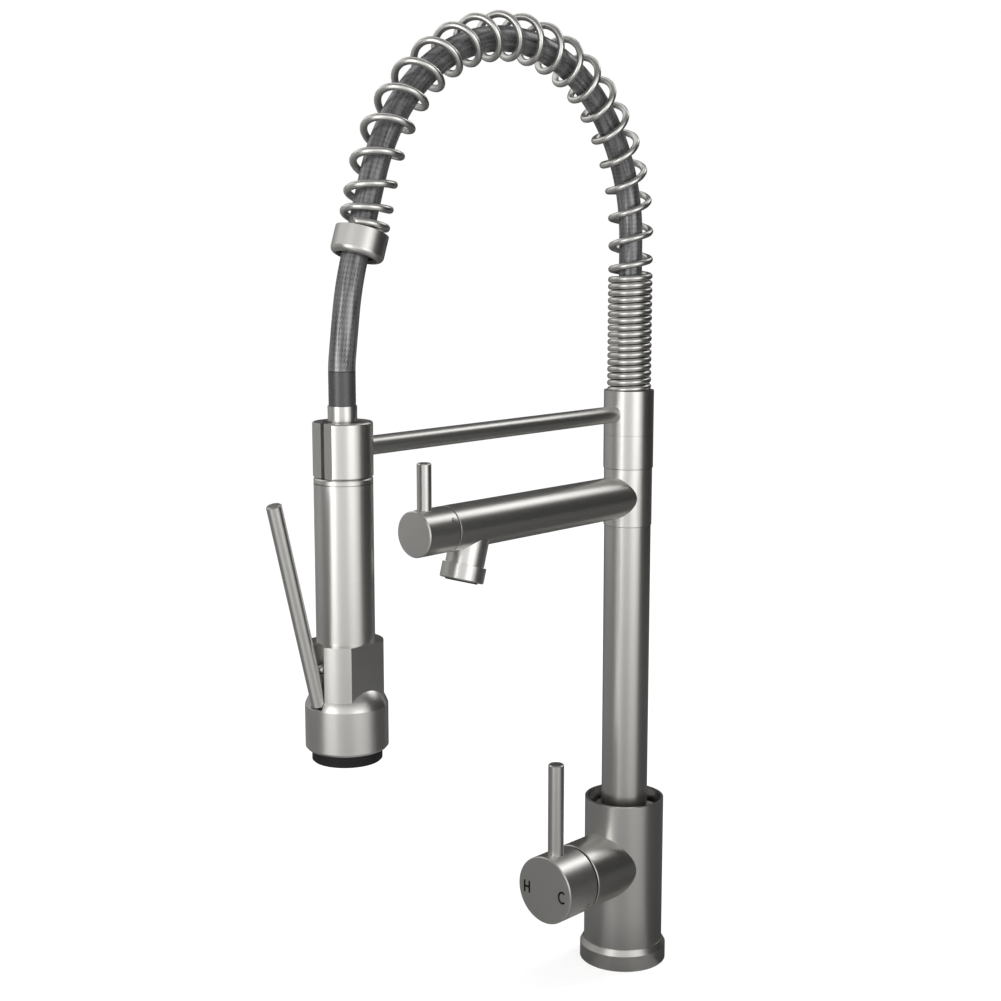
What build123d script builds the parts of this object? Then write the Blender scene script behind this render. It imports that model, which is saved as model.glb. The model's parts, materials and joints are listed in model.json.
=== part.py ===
from build123d import *
from math import cos, pi, radians, sin, sqrt
import os

# A single-lever kitchen mixer for one deck hole. A column rises from the mixer body and carries
# two arms that swing about it: a pot-filler spout with its own quarter-turn tap, and above it a
# holder arm for a pull-down spray head. The spray hose leaves the column's top inside a long
# coil spring, bends over in an arch and comes down to the head.
#
# Millimetres. +Z is up and the origin is on the deck, on the column's axis. The boss of the
# mixer and both arms point along -Y at rest; "out" below is the distance along -Y.

# ------------------------------------------------------------------ fits
RUN_GAP = 0.05          # radial, where a piece turns or slides in another
PUSH_GAP = 0.02         # radial, where a piece is screwed or pushed into its own body
FACE_GAP = 0.1          # between end faces that turn on each other
CLEAR_GAP = 0.3         # between pieces that only pass each other
OVERCUT = 1.0           # how far a cut runs past the surface that it opens

# ------------------------------------------------------------------ base and mixer body
BASE_R = 26.5
BASE_WALL_HEIGHT = 10.0
BASE_HEIGHT = 13.2
BASE_LIP_HEIGHT = 3.0   # flange under the body
BASE_LAND = 0.5         # flat top edge of the base ring
EDGE = 0.6              # broken outer edges
GASKET_WIDTH = 3.0
GASKET_HEIGHT = 1.5
BODY_R = 24.1
BODY_RIM_Z = 104.2
RIM_WALL = 1.8
RECESS_DEPTH = 14.2     # open recess round the foot of the column
SOCKET_DEPTH = 5.0
BLOCK_R = 17.5
BLOCK_HEIGHT = 21.5
INLET_R = 4.5           # M10 x 1 hose tails
INLET_DEPTH = 12.0
INLET_X = 7.5
INLET_Y = 8.0
STUD_R = 3.4            # M8 fixing stud
STUD_DEPTH = 15.0
STUD_Y = -11.0
FEED_R = 3.0            # hot and cold drillings
FEED_Y = 10.0
FEED_DROP = 6.4         # below the mixer's axis
OUTLET_R = 3.5          # mixed water drilling
OUTLET_Y = 8.0
OUTLET_RISE = 9.6       # above the mixer's axis

# ------------------------------------------------------------------ single-lever mixer
MIXER_Z = 64.4
BOSS_R = 20.3
BOSS_FRONT = 48.8       # out from the column's axis
CHAMBER_R = 17.75
CHAMBER_BACK = -3.0
CARTRIDGE_R = 17.5
CARTRIDGE_FRONT = 38.0
DISC_SEAT = 9.5         # where the fixed ceramic disc lies
FIXED_DISC_LENGTH = 3.5
MOVING_DISC_LENGTH = 3.0
MOVING_DISC_R = 10.0
CARRIER_R = 13.0
CARRIER_LENGTH = 21.0
SEAL_THICKNESS = 1.5
SEAL_WIDTH = 1.4
NUT_LENGTH = 9.8
NUT_BORE_R = 12.0
TILT_POINT = 30.0       # the lever tips about this point on the mixer's axis
STEM_R = 4.5
STEM_LENGTH = 40.0
STEM_LEAN = 10.0        # degrees, upwards when the tap is shut
STEM_BARREL_R = 5.0
STEM_BARREL_LENGTH = 16.0
STEM_TAIL_R = 3.0
STEM_TAIL_LENGTH = 10.0
SWING_ROOM = 1.0        # beside the stem at each end of its travel
HUB_FRONT = 74.7
HUB_SEAM = 1.5          # from the boss to the hub's rim
DOME_GAP = 0.5
DOME_WALL = 2.0
DOME_R = 18.6
DOME_HOLE_R = 10.5
MIXER_LEVER_R = 4.7
MIXER_LEVER_OUT = 64.6
MIXER_LEVER_TOP_Z = 139.5
LEVER_SEAT_DEPTH = 6.0
HUB_SCREW_OUT = 56.5
HUB_SCREW_ANGLE = 61.0  # degrees from the hub's underside, towards +X
HUB_SCREW_R = 1.5
HUB_SCREW_LENGTH = 4.0
SCREW_SINK = 1.0        # set screws lie this far below the surface
SOCKET_SHARE = 0.6      # hexagon socket across its corners, of the screw

# ------------------------------------------------------------------ column
COLUMN_R = 14.0
COLUMN_WALL = 2.0
COLUMN_TOP_Z = 274.2
COLUMN_NUT_FLATS = 36.0
COLUMN_NUT_HEIGHT = 7.0
COLUMN_SEAL_HEIGHT = 1.5
SPINDLE_PLUG = 12.0
SPINDLE_R = 11.0        # through the pot-filler hub
SPINDLE_STEP_R = 10.0   # through the lower collar
SPINDLE_NECK_R = 8.0    # through the upper collar
SPINDLE_NECK_LENGTH = 17.0
SPINDLE_BORE_R = 4.5
SPINDLE_PORT_R = 2.5
SPINDLE_PORTS = 4
SPINDLE_PORT_TURN = 45.0    # degrees, the first port from +X
HUB_SEAL_SPREAD = 10.5  # each hub seal from the arm's height
SEAL_R = 0.75           # section of the O-rings
COLLAR_SEAL_LOW = 4.0
COLLAR_SEAL_STEP = 5.0
CIRCLIP_THICKNESS = 1.0
CIRCLIP_DEPTH = 1.0
CIRCLIP_WIDTH = 2.5
CIRCLIP_OPENING = 7.0
WASHER_THICKNESS = 0.4
WASHER_WIDTH = 1.8

# ------------------------------------------------------------------ pot-filler spout
HUB_R = 14.4
HUB_HEIGHT = 35.0
HUB_SPACE = 0.35         # open joint above and below the hub
ARM_R = 12.58
ARM_WALL = 2.1
ARM_EDGE = 0.4          # broken edge at the seam with the knob
ARM_LENGTH = 157.0      # to the seam with the knob
HUB_PORT_R = 5.0
VALVE_LENGTH = 29.0
VALVE_SEAT = 10.0       # depth of the valve's inlet chamber
VALVE_PORT_R = 4.0
VALVE_STEM_R = 4.0
VALVE_STEM_REACH = 11.0 # into the knob
KNOB_R = 12.5
KNOB_GAP = 0.5
KNOB_LENGTH = 22.6
KNOB_HOLLOW_R = 10.8
KNOB_HOLLOW = 1.2
KNOB_LEVER_R = 3.9
KNOB_LEVER_BACK = 7.9   # from the knob's face
KNOB_LEVER_RISE = 37.1     # its tip above the arm's axis
KNOB_SCREW_R = 1.4
KNOB_SCREW_BACK = 3.2   # from the seam
KNOB_SCREW_LENGTH = 5.0
KNOB_SCREW_ANGLE = 58.0 # degrees from the lever, towards +X
NOZZLE_BACK = 21.8      # from the seam with the knob
NOZZLE_LEAN = 17.0      # degrees, foot outwards
NECK_R = 10.7
NECK_LENGTH = 22.2
NECK_BORE_R = 6.0
SPIGOT_R = 10.0
SPIGOT_LENGTH = 3.3
AERATOR_R = 12.15
AERATOR_LENGTH = 9.0
AERATOR_SEAM = 0.4      # open joint between the neck and the ring
AERATOR_LEDGE = 3.2     # depth of the inner ledge from the ring's foot
INSERT_R = 9.0
INSERT_PROUD = 0.7
INSERT_FLANGE = 1.45
INSERT_HOLE_R = 0.9
INSERT_HOLES = 12
INSERT_HOLE_RING = 5.6
WASHER_BORE_R = 6.5
AERATOR_WASHER = 0.9

# ------------------------------------------------------------------ collars and holder arm
COLLAR_R = 14.85
LOWER_COLLAR_HEIGHT = 19.8
UPPER_COLLAR_HEIGHT = 26.3
COLLAR_SOCKET_R = 10.5
COLLAR_SOCKET_DEPTH = 11.7
NIPPLE_BASE = 8.5
NIPPLE_BORE_R = 3.2
BARB_R = 4.5
BARB_LENGTH = 14.0
GUIDE_HEIGHT = 20.0
HOLDER_ROD_R = 4.93
HOLDER_ROD_RISE = 12.7  # above the foot of the upper collar
ROD_SEAT_DEPTH = 3.0
HOLDER_R = 15.1
HOLDER_HEIGHT = 27.5
HOLDER_BORE_R = 10.1
HOLDER_FLAT = 13.5      # from the ring's axis
HOLDER_SLIT = 2.4

# ------------------------------------------------------------------ spray head
HEAD_TUBE_R = 14.88
HEAD_TUBE_WALL = 1.5
HEAD_TUBE_LENGTH = 80.5
HEAD_GROOVE = 0.4
HEAD_RING_HEIGHT = 2.6
HEAD_NECK_R = 9.8
HEAD_NECK_LENGTH = 24.3
CONNECTOR_PLUG = 17.0
CONNECTOR_BORE_R = 4.0
CHECK_VALVE_R = 7.5
CHECK_VALVE_LENGTH = 13.6
CHECK_VALVE_BORE_R = 3.0
VALVE_BODY_R = 19.1
VALVE_BODY_HEIGHT = 28.2
VALVE_BODY_FLAT = 15.8
VALVE_SPIGOT = 12.0
HEAD_BORE_R = 5.0
SKIRT_R = 17.6
SKIRT_HEIGHT = 23.5
SKIRT_CHAMBER_R = 12.0
SKIRT_CHAMBER = 7.5
SLOT_WIDTH = 8.4
SLOT_FLOOR = 12.0       # from the head's axis
PLUNGER_R = 2.5
PLUNGER_RISE = 16.0     # above the foot of the valve body
PLUNGER_TIP = 19.0
PLUNGER_INNER = 3.0
CUP_R = 21.2
CUP_WALL = 1.6
CUP_DOME_R = 22.26      # the shoulder is part of a ball about the head's axis
CUP_RIM_DROP = 4.66     # from the foot of the valve body to the top of the straight wall
CUP_HEIGHT = 27.35      # below the foot of the valve body
CUP_FOOT_TAPER = 1.0
CUP_FOOT_HEIGHT = 1.2
CUP_LIP_HEIGHT = 1.75
NOZZLE_RING_R = 17.95
NOZZLE_RING_DROP = 6.45
NOZZLE_FLANGE = 1.8
PLATE_R = 13.5
PLATE_THICKNESS = 3.1
PLATE_RECESS = 0.8
JET_R = 0.7
JET_RINGS = ((4.0, 6), (8.0, 10), (11.4, 14))   # ring radius and number of jets

SPRAY_LEVER_R = 3.85
SPRAY_LEVER_LEAN = 14.3 # degrees, outwards
SPRAY_LEVER_LENGTH = 107.8
SPRAY_LEVER_OUT = 18.7  # foot of the rod from the head's axis
SPRAY_LEVER_DROP = 1.8  # foot of the rod below the foot of the valve body
PIVOT_OUT = 14.5
PIVOT_DROP = 8.0
PIVOT_R = 1.5
EYE_R = 2.8
LINK_LEAN = 18.0        # degrees, outwards, of the link between the eye and the rod
FOOT_WIDTH = 7.0
FOOT_THICKNESS = 4.8
NOTCH_DROP = 4.2        # notch for the lever in the cup's shoulder

# ------------------------------------------------------------------ hose and its arch
HOSE_R = 6.8
HOSE_BORE_R = 4.6
HOSE_ARCH_R = 105.74
HOSE_LEAN = 18.0        # degrees from upright where the hose leaves the arch
HOSE_RUN = 41.8         # straight, at that lean
HOSE_BEND_R = 162.5     # most of the way back to upright
HOSE_LOW_LEAN = 7.6     # degrees from upright below that bend
HOSE_LOW_RUN = 20.0     # straight, at that lean
HOSE_FOOT_R = 60.0      # the last of the way to upright
HOSE_TAIL = 16.7        # upright above the ferrule
FERRULE_R = 7.35
FERRULE_HEIGHT = 11.0
FERRULE_FLOOR = 2.9
SWIVEL_R = 6.0
SWIVEL_LENGTH = 19.8
FERRULE_SEAL_RISE = 8.0

# ------------------------------------------------------------------ spring
WIRE_R = 1.9
COIL_R = 11.25           # to the wire's centre
COIL_SEAT = 3.5         # the coil stands this deep in the upper collar
COIL_ARCH_R = 105.5
COIL_ARCH_RISE = 1.54   # the coil's arch starts this far above the hose's
COIL_TURN_OUT = 12.5    # degrees from upright where the arch turns outwards again
COIL_TURN_OUT_R = 177.0
COIL_LEAN = 19.0        # degrees from upright at the end collar
PITCH_CLOSED = 4.04
PITCH_END = 6.0         # at the end collar
TURNS_CLOSED = 16.62
TURNS_OPENING = 1.69    # over which the pitch opens
TURNS_OPEN = 17.7
TURNS_CLOSING = 2.9     # over which the pitch narrows again
STEPS_PER_TURN = 4
END_COLLAR_R = 13.5
END_COLLAR_LENGTH = 13.5
END_COLLAR_ROUND = 3.0
END_COLLAR_BORE_R = 10.4
BUSH_BORE_R = 9.0
BUSH_SHOULDER = 1.2


# ------------------------------------------------------------------ heights that follow
RECESS_Z = BODY_RIM_Z - RECESS_DEPTH
SOCKET_Z = RECESS_Z - SOCKET_DEPTH
COLUMN_FOOT_Z = SOCKET_Z + COLUMN_SEAL_HEIGHT
COLUMN_BORE_R = COLUMN_R - COLUMN_WALL
HUB_TOP_Z = COLUMN_TOP_Z + HUB_HEIGHT
ARM_Z = COLUMN_TOP_Z + HUB_HEIGHT / 2
NOZZLE_OUT = ARM_LENGTH - NOZZLE_BACK
COLLAR_Z = HUB_TOP_Z + LOWER_COLLAR_HEIGHT
COLLAR_TOP_Z = COLLAR_Z + UPPER_COLLAR_HEIGHT
COIL_FOOT_Z = COLLAR_TOP_Z - COIL_SEAT
HOLDER_Z = COLLAR_Z + HOLDER_ROD_RISE
HOLDER_LOW_Z = HOLDER_Z - HOLDER_HEIGHT / 2
SPINDLE_TOP_Z = COLLAR_Z + SPINDLE_NECK_LENGTH
CIRCLIP_Z = COLLAR_TOP_Z - COLLAR_SOCKET_DEPTH + CLEAR_GAP
HEAD_RING_TOP_Z = HOLDER_LOW_Z - CLEAR_GAP
HEAD_RING_LOW_Z = HEAD_RING_TOP_Z - HEAD_RING_HEIGHT
HEAD_TUBE_TOP_Z = HEAD_RING_LOW_Z - HEAD_GROOVE
BLOCK_TOP_Z = HEAD_TUBE_TOP_Z - HEAD_TUBE_LENGTH
BLOCK_LOW_Z = BLOCK_TOP_Z - VALVE_BODY_HEIGHT
CUP_RIM_Z = BLOCK_LOW_Z - CUP_RIM_DROP
CUP_DOME_Z = CUP_RIM_Z - sqrt(CUP_DOME_R ** 2 - CUP_R ** 2)
CUP_LOW_Z = BLOCK_LOW_Z - CUP_HEIGHT
CUP_BORE_R = CUP_R - CUP_WALL
NECK_TOP_Z = HEAD_RING_TOP_Z + HEAD_NECK_LENGTH
FERRULE_LOW_Z = NECK_TOP_Z + CLEAR_GAP
FERRULE_TOP_Z = FERRULE_LOW_Z + FERRULE_HEIGHT
HOSE_END_Z = FERRULE_LOW_Z + FERRULE_FLOOR + FACE_GAP
LEAN = radians(HOSE_LEAN)
LOW_LEAN = radians(HOSE_LOW_LEAN)
HOSE_FOOT_Z = FERRULE_TOP_Z + HOSE_TAIL
LOW_OUT = HOSE_FOOT_R * (1 - cos(LOW_LEAN)) + HOSE_LOW_RUN * sin(LOW_LEAN)
BEND_OUT = LOW_OUT + HOSE_BEND_R * (cos(LOW_LEAN) - cos(LEAN))
HOSE_LOW_Z = HOSE_FOOT_Z + HOSE_FOOT_R * sin(LOW_LEAN)
HOSE_BEND_Z = HOSE_LOW_Z + HOSE_LOW_RUN * cos(LOW_LEAN)
HOSE_RUN_Z = HOSE_BEND_Z + HOSE_BEND_R * (sin(LEAN) - sin(LOW_LEAN))
HOSE_ARCH_Z = HOSE_RUN_Z + HOSE_RUN * cos(LEAN) - HOSE_ARCH_R * sin(LEAN)
COIL_ARCH_Z = HOSE_ARCH_Z + COIL_ARCH_RISE
HEAD_OUT = HOSE_ARCH_R * (1 + cos(LEAN)) + HOSE_RUN * sin(LEAN) + BEND_OUT
DOME_SPHERE_R = sqrt(BOSS_R ** 2 + (BOSS_FRONT + HUB_SEAM - TILT_POINT) ** 2)


# ------------------------------------------------------------------ helpers
def rod(radius, low, high):
    """A cylinder on the Z axis between two heights."""
    return Pos(0, 0, low) * Cylinder(radius, high - low, align=(Align.CENTER, Align.CENTER, Align.MIN))


def tube(outer, inner, low, high):
    """A plain tube on the Z axis between two heights."""
    return rod(outer, low, high) - rod(inner, low, high)


def turned(*outline):
    """A solid turned about the Z axis from (radius, height) points."""
    return revolve(make_face(Plane.XZ * Polyline(*outline, close=True)), Axis.Z)


def ring_seal(radius, height):
    """An O-ring that lies flush in its groove on a shaft of this radius."""
    return Pos(0, 0, height) * Torus(radius - RUN_GAP - SEAL_R, SEAL_R)


def seal_groove(radius, height):
    """The groove that such an O-ring lies in."""
    half = SEAL_R + PUSH_GAP
    return tube(radius + CLEAR_GAP, radius - RUN_GAP - 2 * SEAL_R - PUSH_GAP, height - half, height + half)


def along_arm(height):
    """Places a piece that was made on +Z so that it points out along -Y at this height."""
    return Pos(0, 0, height) * Rot(90, 0, 0)


def on_mixer():
    """Places a piece of the mixer, made on +Z, with its Y upwards."""
    return along_arm(MIXER_Z)


def on_nozzle():
    """Places a piece of the spout's nozzle: +Z runs down its axis from the arm's axis."""
    return Pos(0, -NOZZLE_OUT, ARM_Z) * Rot(180 - NOZZLE_LEAN, 0, 0)


def on_head():
    """Places a piece of the spray head, made on the Z axis at its own height."""
    return Pos(0, -HEAD_OUT, 0)


def set_screw(radius, length, high):
    """A headless screw along Z with a hexagon socket in its upper end."""
    socket = Pos(0, 0, high - length / 2) * extrude(RegularPolygon(radius * SOCKET_SHARE, 6), length / 2)
    return rod(radius, high - length, high) - socket


def around(count, radius, make):
    """Copies of one shape evenly round the Z axis."""
    return [Rot(0, 0, 360 * i / count) * Pos(radius, 0, 0) * make for i in range(count)]


# ------------------------------------------------------------------ base and body
def base_ring():
    bore = BODY_R + PUSH_GAP
    ring = turned((BLOCK_R + PUSH_GAP, 0), (BASE_R - EDGE, 0), (BASE_R, EDGE),
                  (BASE_R, BASE_WALL_HEIGHT), (BODY_R + BASE_LAND, BASE_HEIGHT),
                  (bore, BASE_HEIGHT), (bore, BASE_LIP_HEIGHT), (BLOCK_R + PUSH_GAP, BASE_LIP_HEIGHT))
    return ring - gasket_shape(0)


def gasket_shape(shrink):
    middle = (BLOCK_R + BASE_R) / 2
    half = GASKET_WIDTH / 2 - shrink
    return tube(middle + half, middle - half, 0, GASKET_HEIGHT - shrink)


def base_gasket():
    return gasket_shape(PUSH_GAP)


def inlet_block():
    block = rod(BLOCK_R, 0, BLOCK_HEIGHT)
    for side in (-1, 1):
        block -= Pos(side * INLET_X, INLET_Y, 0) * rod(INLET_R, 0, INLET_DEPTH)
        block -= Pos(side * INLET_X, FEED_Y, 0) * rod(FEED_R, INLET_DEPTH, BLOCK_HEIGHT)
    return block - Pos(0, STUD_Y, 0) * rod(STUD_R, 0, STUD_DEPTH)


def mixer_body():
    body = rod(BODY_R, BASE_LIP_HEIGHT, BODY_RIM_Z)
    body += on_mixer() * turned((0, 0), (BOSS_R, 0), (BOSS_R, BOSS_FRONT - EDGE),
                                (BOSS_R - EDGE, BOSS_FRONT), (0, BOSS_FRONT))
    body -= rod(BODY_R - RIM_WALL, RECESS_Z, BODY_RIM_Z)
    body -= rod(COLUMN_R + PUSH_GAP, SOCKET_Z, RECESS_Z)
    body -= rod(BLOCK_R + PUSH_GAP, BASE_LIP_HEIGHT, BLOCK_HEIGHT)
    body -= on_mixer() * rod(CHAMBER_R, CHAMBER_BACK, BOSS_FRONT)
    for side in (-1, 1):
        body -= Pos(side * INLET_X, FEED_Y, 0) * rod(FEED_R, BLOCK_HEIGHT, MIXER_Z - FEED_DROP)
        body -= on_mixer() * Pos(side * INLET_X, -FEED_DROP, 0) * rod(FEED_R, -FEED_Y, CHAMBER_BACK)
    body -= Pos(0, OUTLET_Y, 0) * rod(OUTLET_R, MIXER_Z + OUTLET_RISE, SOCKET_Z)
    body -= on_mixer() * Pos(0, OUTLET_RISE, 0) * rod(OUTLET_R, -OUTLET_Y, CHAMBER_BACK)
    return body


# ------------------------------------------------------------------ mixer
def port_places():
    """Centres of the cartridge's hot, cold and mixed ports, with their radii."""
    return ((-INLET_X, -FEED_DROP, FEED_R), (INLET_X, -FEED_DROP, FEED_R), (0, OUTLET_RISE, OUTLET_R))


def mixer_cartridge():
    back = CHAMBER_BACK + CLEAR_GAP
    body = rod(CARTRIDGE_R, back, CARTRIDGE_FRONT)
    body -= rod(CARRIER_R + RUN_GAP, DISC_SEAT, CARTRIDGE_FRONT)
    for x, y, radius in port_places():
        body -= Pos(x, y, 0) * rod(radius, back, DISC_SEAT)
        seal_room = rod(radius + SEAL_WIDTH + PUSH_GAP, back, CHAMBER_BACK + SEAL_THICKNESS + PUSH_GAP)
        body -= Pos(x, y, 0) * seal_room
    return on_mixer() * body


def cartridge_seals():
    rings = []
    for x, y, radius in port_places():
        ring = tube(radius + SEAL_WIDTH, radius, CHAMBER_BACK, CHAMBER_BACK + SEAL_THICKNESS)
        rings.append(on_mixer() * Pos(x, y, 0) * ring)
    return rings


def fixed_disc():
    disc = rod(CARRIER_R, DISC_SEAT, DISC_SEAT + FIXED_DISC_LENGTH)
    for x, y, radius in port_places():
        disc -= Pos(x, y, 0) * rod(radius, DISC_SEAT, DISC_SEAT + FIXED_DISC_LENGTH)
    return on_mixer() * disc


def moving_disc():
    low = DISC_SEAT + FIXED_DISC_LENGTH + RUN_GAP
    disc = rod(MOVING_DISC_R, low, low + MOVING_DISC_LENGTH)
    return on_mixer() * (disc - rod(MOVING_DISC_R / 2, low, low + MOVING_DISC_LENGTH / 2))


def cartridge_carrier():
    low = DISC_SEAT + FIXED_DISC_LENGTH + MOVING_DISC_LENGTH + 2 * RUN_GAP
    high = low + CARRIER_LENGTH
    swing = STEM_TAIL_LENGTH * sin(radians(STEM_LEAN)) + STEM_R + SWING_ROOM
    body = rod(CARRIER_R, low, high)
    body -= Pos(0, 0, TILT_POINT) * Box(2 * (STEM_R + RUN_GAP), 2 * swing, 2 * (high - TILT_POINT) + OVERCUT)
    tail_room = STEM_TAIL_LENGTH + STEM_TAIL_R
    body -= Pos(0, 0, TILT_POINT - tail_room / 2) * Box(2 * (STEM_TAIL_R + RUN_GAP), 2 * swing, tail_room)
    bore = Cylinder(STEM_BARREL_R + RUN_GAP, STEM_BARREL_LENGTH + 2 * RUN_GAP)
    return on_mixer() * (body - Pos(0, 0, TILT_POINT) * Rot(0, 90, 0) * bore)


def cartridge_stem():
    stem = Rot(0, 90, 0) * Cylinder(STEM_BARREL_R, STEM_BARREL_LENGTH)
    stem += Rot(-STEM_LEAN, 0, 0) * (rod(STEM_R, 0, STEM_LENGTH) + rod(STEM_TAIL_R, -STEM_TAIL_LENGTH, 0))
    return on_mixer() * Pos(0, 0, TILT_POINT) * stem


def cartridge_nut():
    low = CARTRIDGE_FRONT + RUN_GAP
    return on_mixer() * tube(CHAMBER_R - PUSH_GAP, NUT_BORE_R, low, low + NUT_LENGTH)


def cartridge_dome():
    ball = Pos(0, 0, TILT_POINT) * Sphere(DOME_SPHERE_R - DOME_GAP)
    hollow = Pos(0, 0, TILT_POINT) * Sphere(DOME_SPHERE_R - DOME_GAP - DOME_WALL)
    shell = ball & rod(DOME_R, BOSS_FRONT, HUB_FRONT)
    return on_mixer() * (shell - hollow - rod(DOME_HOLE_R, BOSS_FRONT, HUB_FRONT))


def mixer_hub():
    hub = turned((0, BOSS_FRONT), (BOSS_R, BOSS_FRONT), (BOSS_R, HUB_FRONT - EDGE),
                 (BOSS_R - EDGE, HUB_FRONT), (0, HUB_FRONT))
    hub -= Pos(0, 0, TILT_POINT) * Sphere(DOME_SPHERE_R)
    hub -= Pos(0, 0, TILT_POINT) * Rot(-STEM_LEAN, 0, 0) * rod(STEM_R + PUSH_GAP, 0, STEM_LENGTH + FACE_GAP)
    hub = on_mixer() * hub
    seat = rod(MIXER_LEVER_R + PUSH_GAP, MIXER_Z + BOSS_R - LEVER_SEAT_DEPTH, MIXER_Z + BOSS_R + OVERCUT)
    hub -= Pos(0, -MIXER_LEVER_OUT, 0) * seat
    return hub - on_hub_side() * rod(HUB_SCREW_R + PUSH_GAP, BOSS_R - SCREW_SINK - HUB_SCREW_LENGTH, BOSS_R)


def on_hub_side():
    """Places a set screw in the hub's side: +Z points out of the hub."""
    return on_mixer() * Pos(0, 0, HUB_SCREW_OUT) * Rot(0, 0, HUB_SCREW_ANGLE) * Rot(90, 0, 0)


def hub_set_screw():
    return on_hub_side() * set_screw(HUB_SCREW_R, HUB_SCREW_LENGTH, BOSS_R - SCREW_SINK)


def mixer_lever():
    low = MIXER_Z + BOSS_R - LEVER_SEAT_DEPTH
    bar = turned((0, low), (MIXER_LEVER_R, low), (MIXER_LEVER_R, MIXER_LEVER_TOP_Z - EDGE),
                 (MIXER_LEVER_R - EDGE, MIXER_LEVER_TOP_Z), (0, MIXER_LEVER_TOP_Z))
    return Pos(0, -MIXER_LEVER_OUT, 0) * bar


# ------------------------------------------------------------------ column
def column_tube():
    return tube(COLUMN_R, COLUMN_BORE_R, COLUMN_FOOT_Z, COLUMN_TOP_Z)


def column_seal():
    return tube(COLUMN_R, COLUMN_BORE_R, SOCKET_Z, COLUMN_FOOT_Z)


def column_nut():
    nut = extrude(RegularPolygon(COLUMN_NUT_FLATS / 2, 6, major_radius=False), COLUMN_NUT_HEIGHT)
    return Pos(0, 0, RECESS_Z) * nut - rod(COLUMN_R + PUSH_GAP, RECESS_Z, RECESS_Z + COLUMN_NUT_HEIGHT)


def column_spindle():
    spindle = turned((0, COLUMN_TOP_Z - SPINDLE_PLUG),
                     (COLUMN_BORE_R - PUSH_GAP, COLUMN_TOP_Z - SPINDLE_PLUG),
                     (COLUMN_BORE_R - PUSH_GAP, COLUMN_TOP_Z), (SPINDLE_R, COLUMN_TOP_Z),
                     (SPINDLE_R, HUB_TOP_Z), (SPINDLE_STEP_R, HUB_TOP_Z), (SPINDLE_STEP_R, COLLAR_Z),
                     (SPINDLE_NECK_R, COLLAR_Z), (SPINDLE_NECK_R, SPINDLE_TOP_Z), (0, SPINDLE_TOP_Z))
    spindle -= rod(SPINDLE_BORE_R, COLUMN_TOP_Z - SPINDLE_PLUG, SPINDLE_TOP_Z)
    port = Rot(0, 90, 0) * rod(SPINDLE_PORT_R, 0, SPINDLE_R + OVERCUT)
    for i in range(SPINDLE_PORTS):
        spindle -= Pos(0, 0, ARM_Z) * Rot(0, 0, SPINDLE_PORT_TURN + 360 * i / SPINDLE_PORTS) * port
    for height in hub_seal_heights():
        spindle -= seal_groove(SPINDLE_R, height)
    for height in collar_seal_heights():
        spindle -= seal_groove(SPINDLE_NECK_R, height)
    return spindle - tube(SPINDLE_NECK_R + OVERCUT, SPINDLE_NECK_R - CIRCLIP_DEPTH,
                          CIRCLIP_Z - PUSH_GAP, CIRCLIP_Z + CIRCLIP_THICKNESS + PUSH_GAP)


def hub_seal_heights():
    return (ARM_Z - HUB_SEAL_SPREAD, ARM_Z + HUB_SEAL_SPREAD)


def collar_seal_heights():
    return (COLLAR_Z + COLLAR_SEAL_LOW, COLLAR_Z + COLLAR_SEAL_LOW + COLLAR_SEAL_STEP)


def hub_seals():
    return [ring_seal(SPINDLE_R, height) for height in hub_seal_heights()]


def collar_seals():
    return [ring_seal(SPINDLE_NECK_R, height) for height in collar_seal_heights()]


def hub_washers():
    inner = SPINDLE_R + PUSH_GAP
    outer = inner + WASHER_WIDTH
    return [tube(outer, inner, COLUMN_TOP_Z, COLUMN_TOP_Z + WASHER_THICKNESS),
            tube(outer, inner, HUB_TOP_Z - WASHER_THICKNESS, HUB_TOP_Z)]


def collar_circlip():
    inner = SPINDLE_NECK_R - CIRCLIP_DEPTH + PUSH_GAP
    clip = tube(inner + CIRCLIP_WIDTH, inner, CIRCLIP_Z, CIRCLIP_Z + CIRCLIP_THICKNESS)
    return clip - Pos(0, inner, CIRCLIP_Z) * Box(CIRCLIP_OPENING, 2 * inner, 4 * CIRCLIP_THICKNESS)


def lower_collar():
    return tube(COLLAR_R, SPINDLE_STEP_R + PUSH_GAP, HUB_TOP_Z, COLLAR_Z)


# ------------------------------------------------------------------ pot-filler spout
def pot_filler_arm():
    arm_bore = ARM_R - ARM_WALL
    arm = rod(HUB_R, COLUMN_TOP_Z + HUB_SPACE, HUB_TOP_Z - HUB_SPACE)
    arm += along_arm(ARM_Z) * turned((0, 0), (ARM_R, 0), (ARM_R, ARM_LENGTH - ARM_EDGE),
                                     (ARM_R - ARM_EDGE, ARM_LENGTH), (0, ARM_LENGTH))
    neck = rod(NECK_R, 0, NECK_LENGTH) + rod(SPIGOT_R, NECK_LENGTH, NECK_LENGTH + SPIGOT_LENGTH)
    arm += on_nozzle() * neck
    arm -= rod(SPINDLE_R + RUN_GAP, COLUMN_TOP_Z, HUB_TOP_Z)
    washer_room = SPINDLE_R + WASHER_WIDTH + FACE_GAP
    arm -= rod(washer_room, COLUMN_TOP_Z, COLUMN_TOP_Z + WASHER_THICKNESS + RUN_GAP)
    arm -= rod(washer_room, HUB_TOP_Z - WASHER_THICKNESS - RUN_GAP, HUB_TOP_Z)
    arm -= along_arm(ARM_Z) * rod(arm_bore, HUB_R, ARM_LENGTH)
    arm -= along_arm(ARM_Z) * rod(HUB_PORT_R, SPINDLE_R, HUB_R)
    return arm - on_nozzle() * rod(NECK_BORE_R, 0, NECK_LENGTH + SPIGOT_LENGTH)


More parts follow.
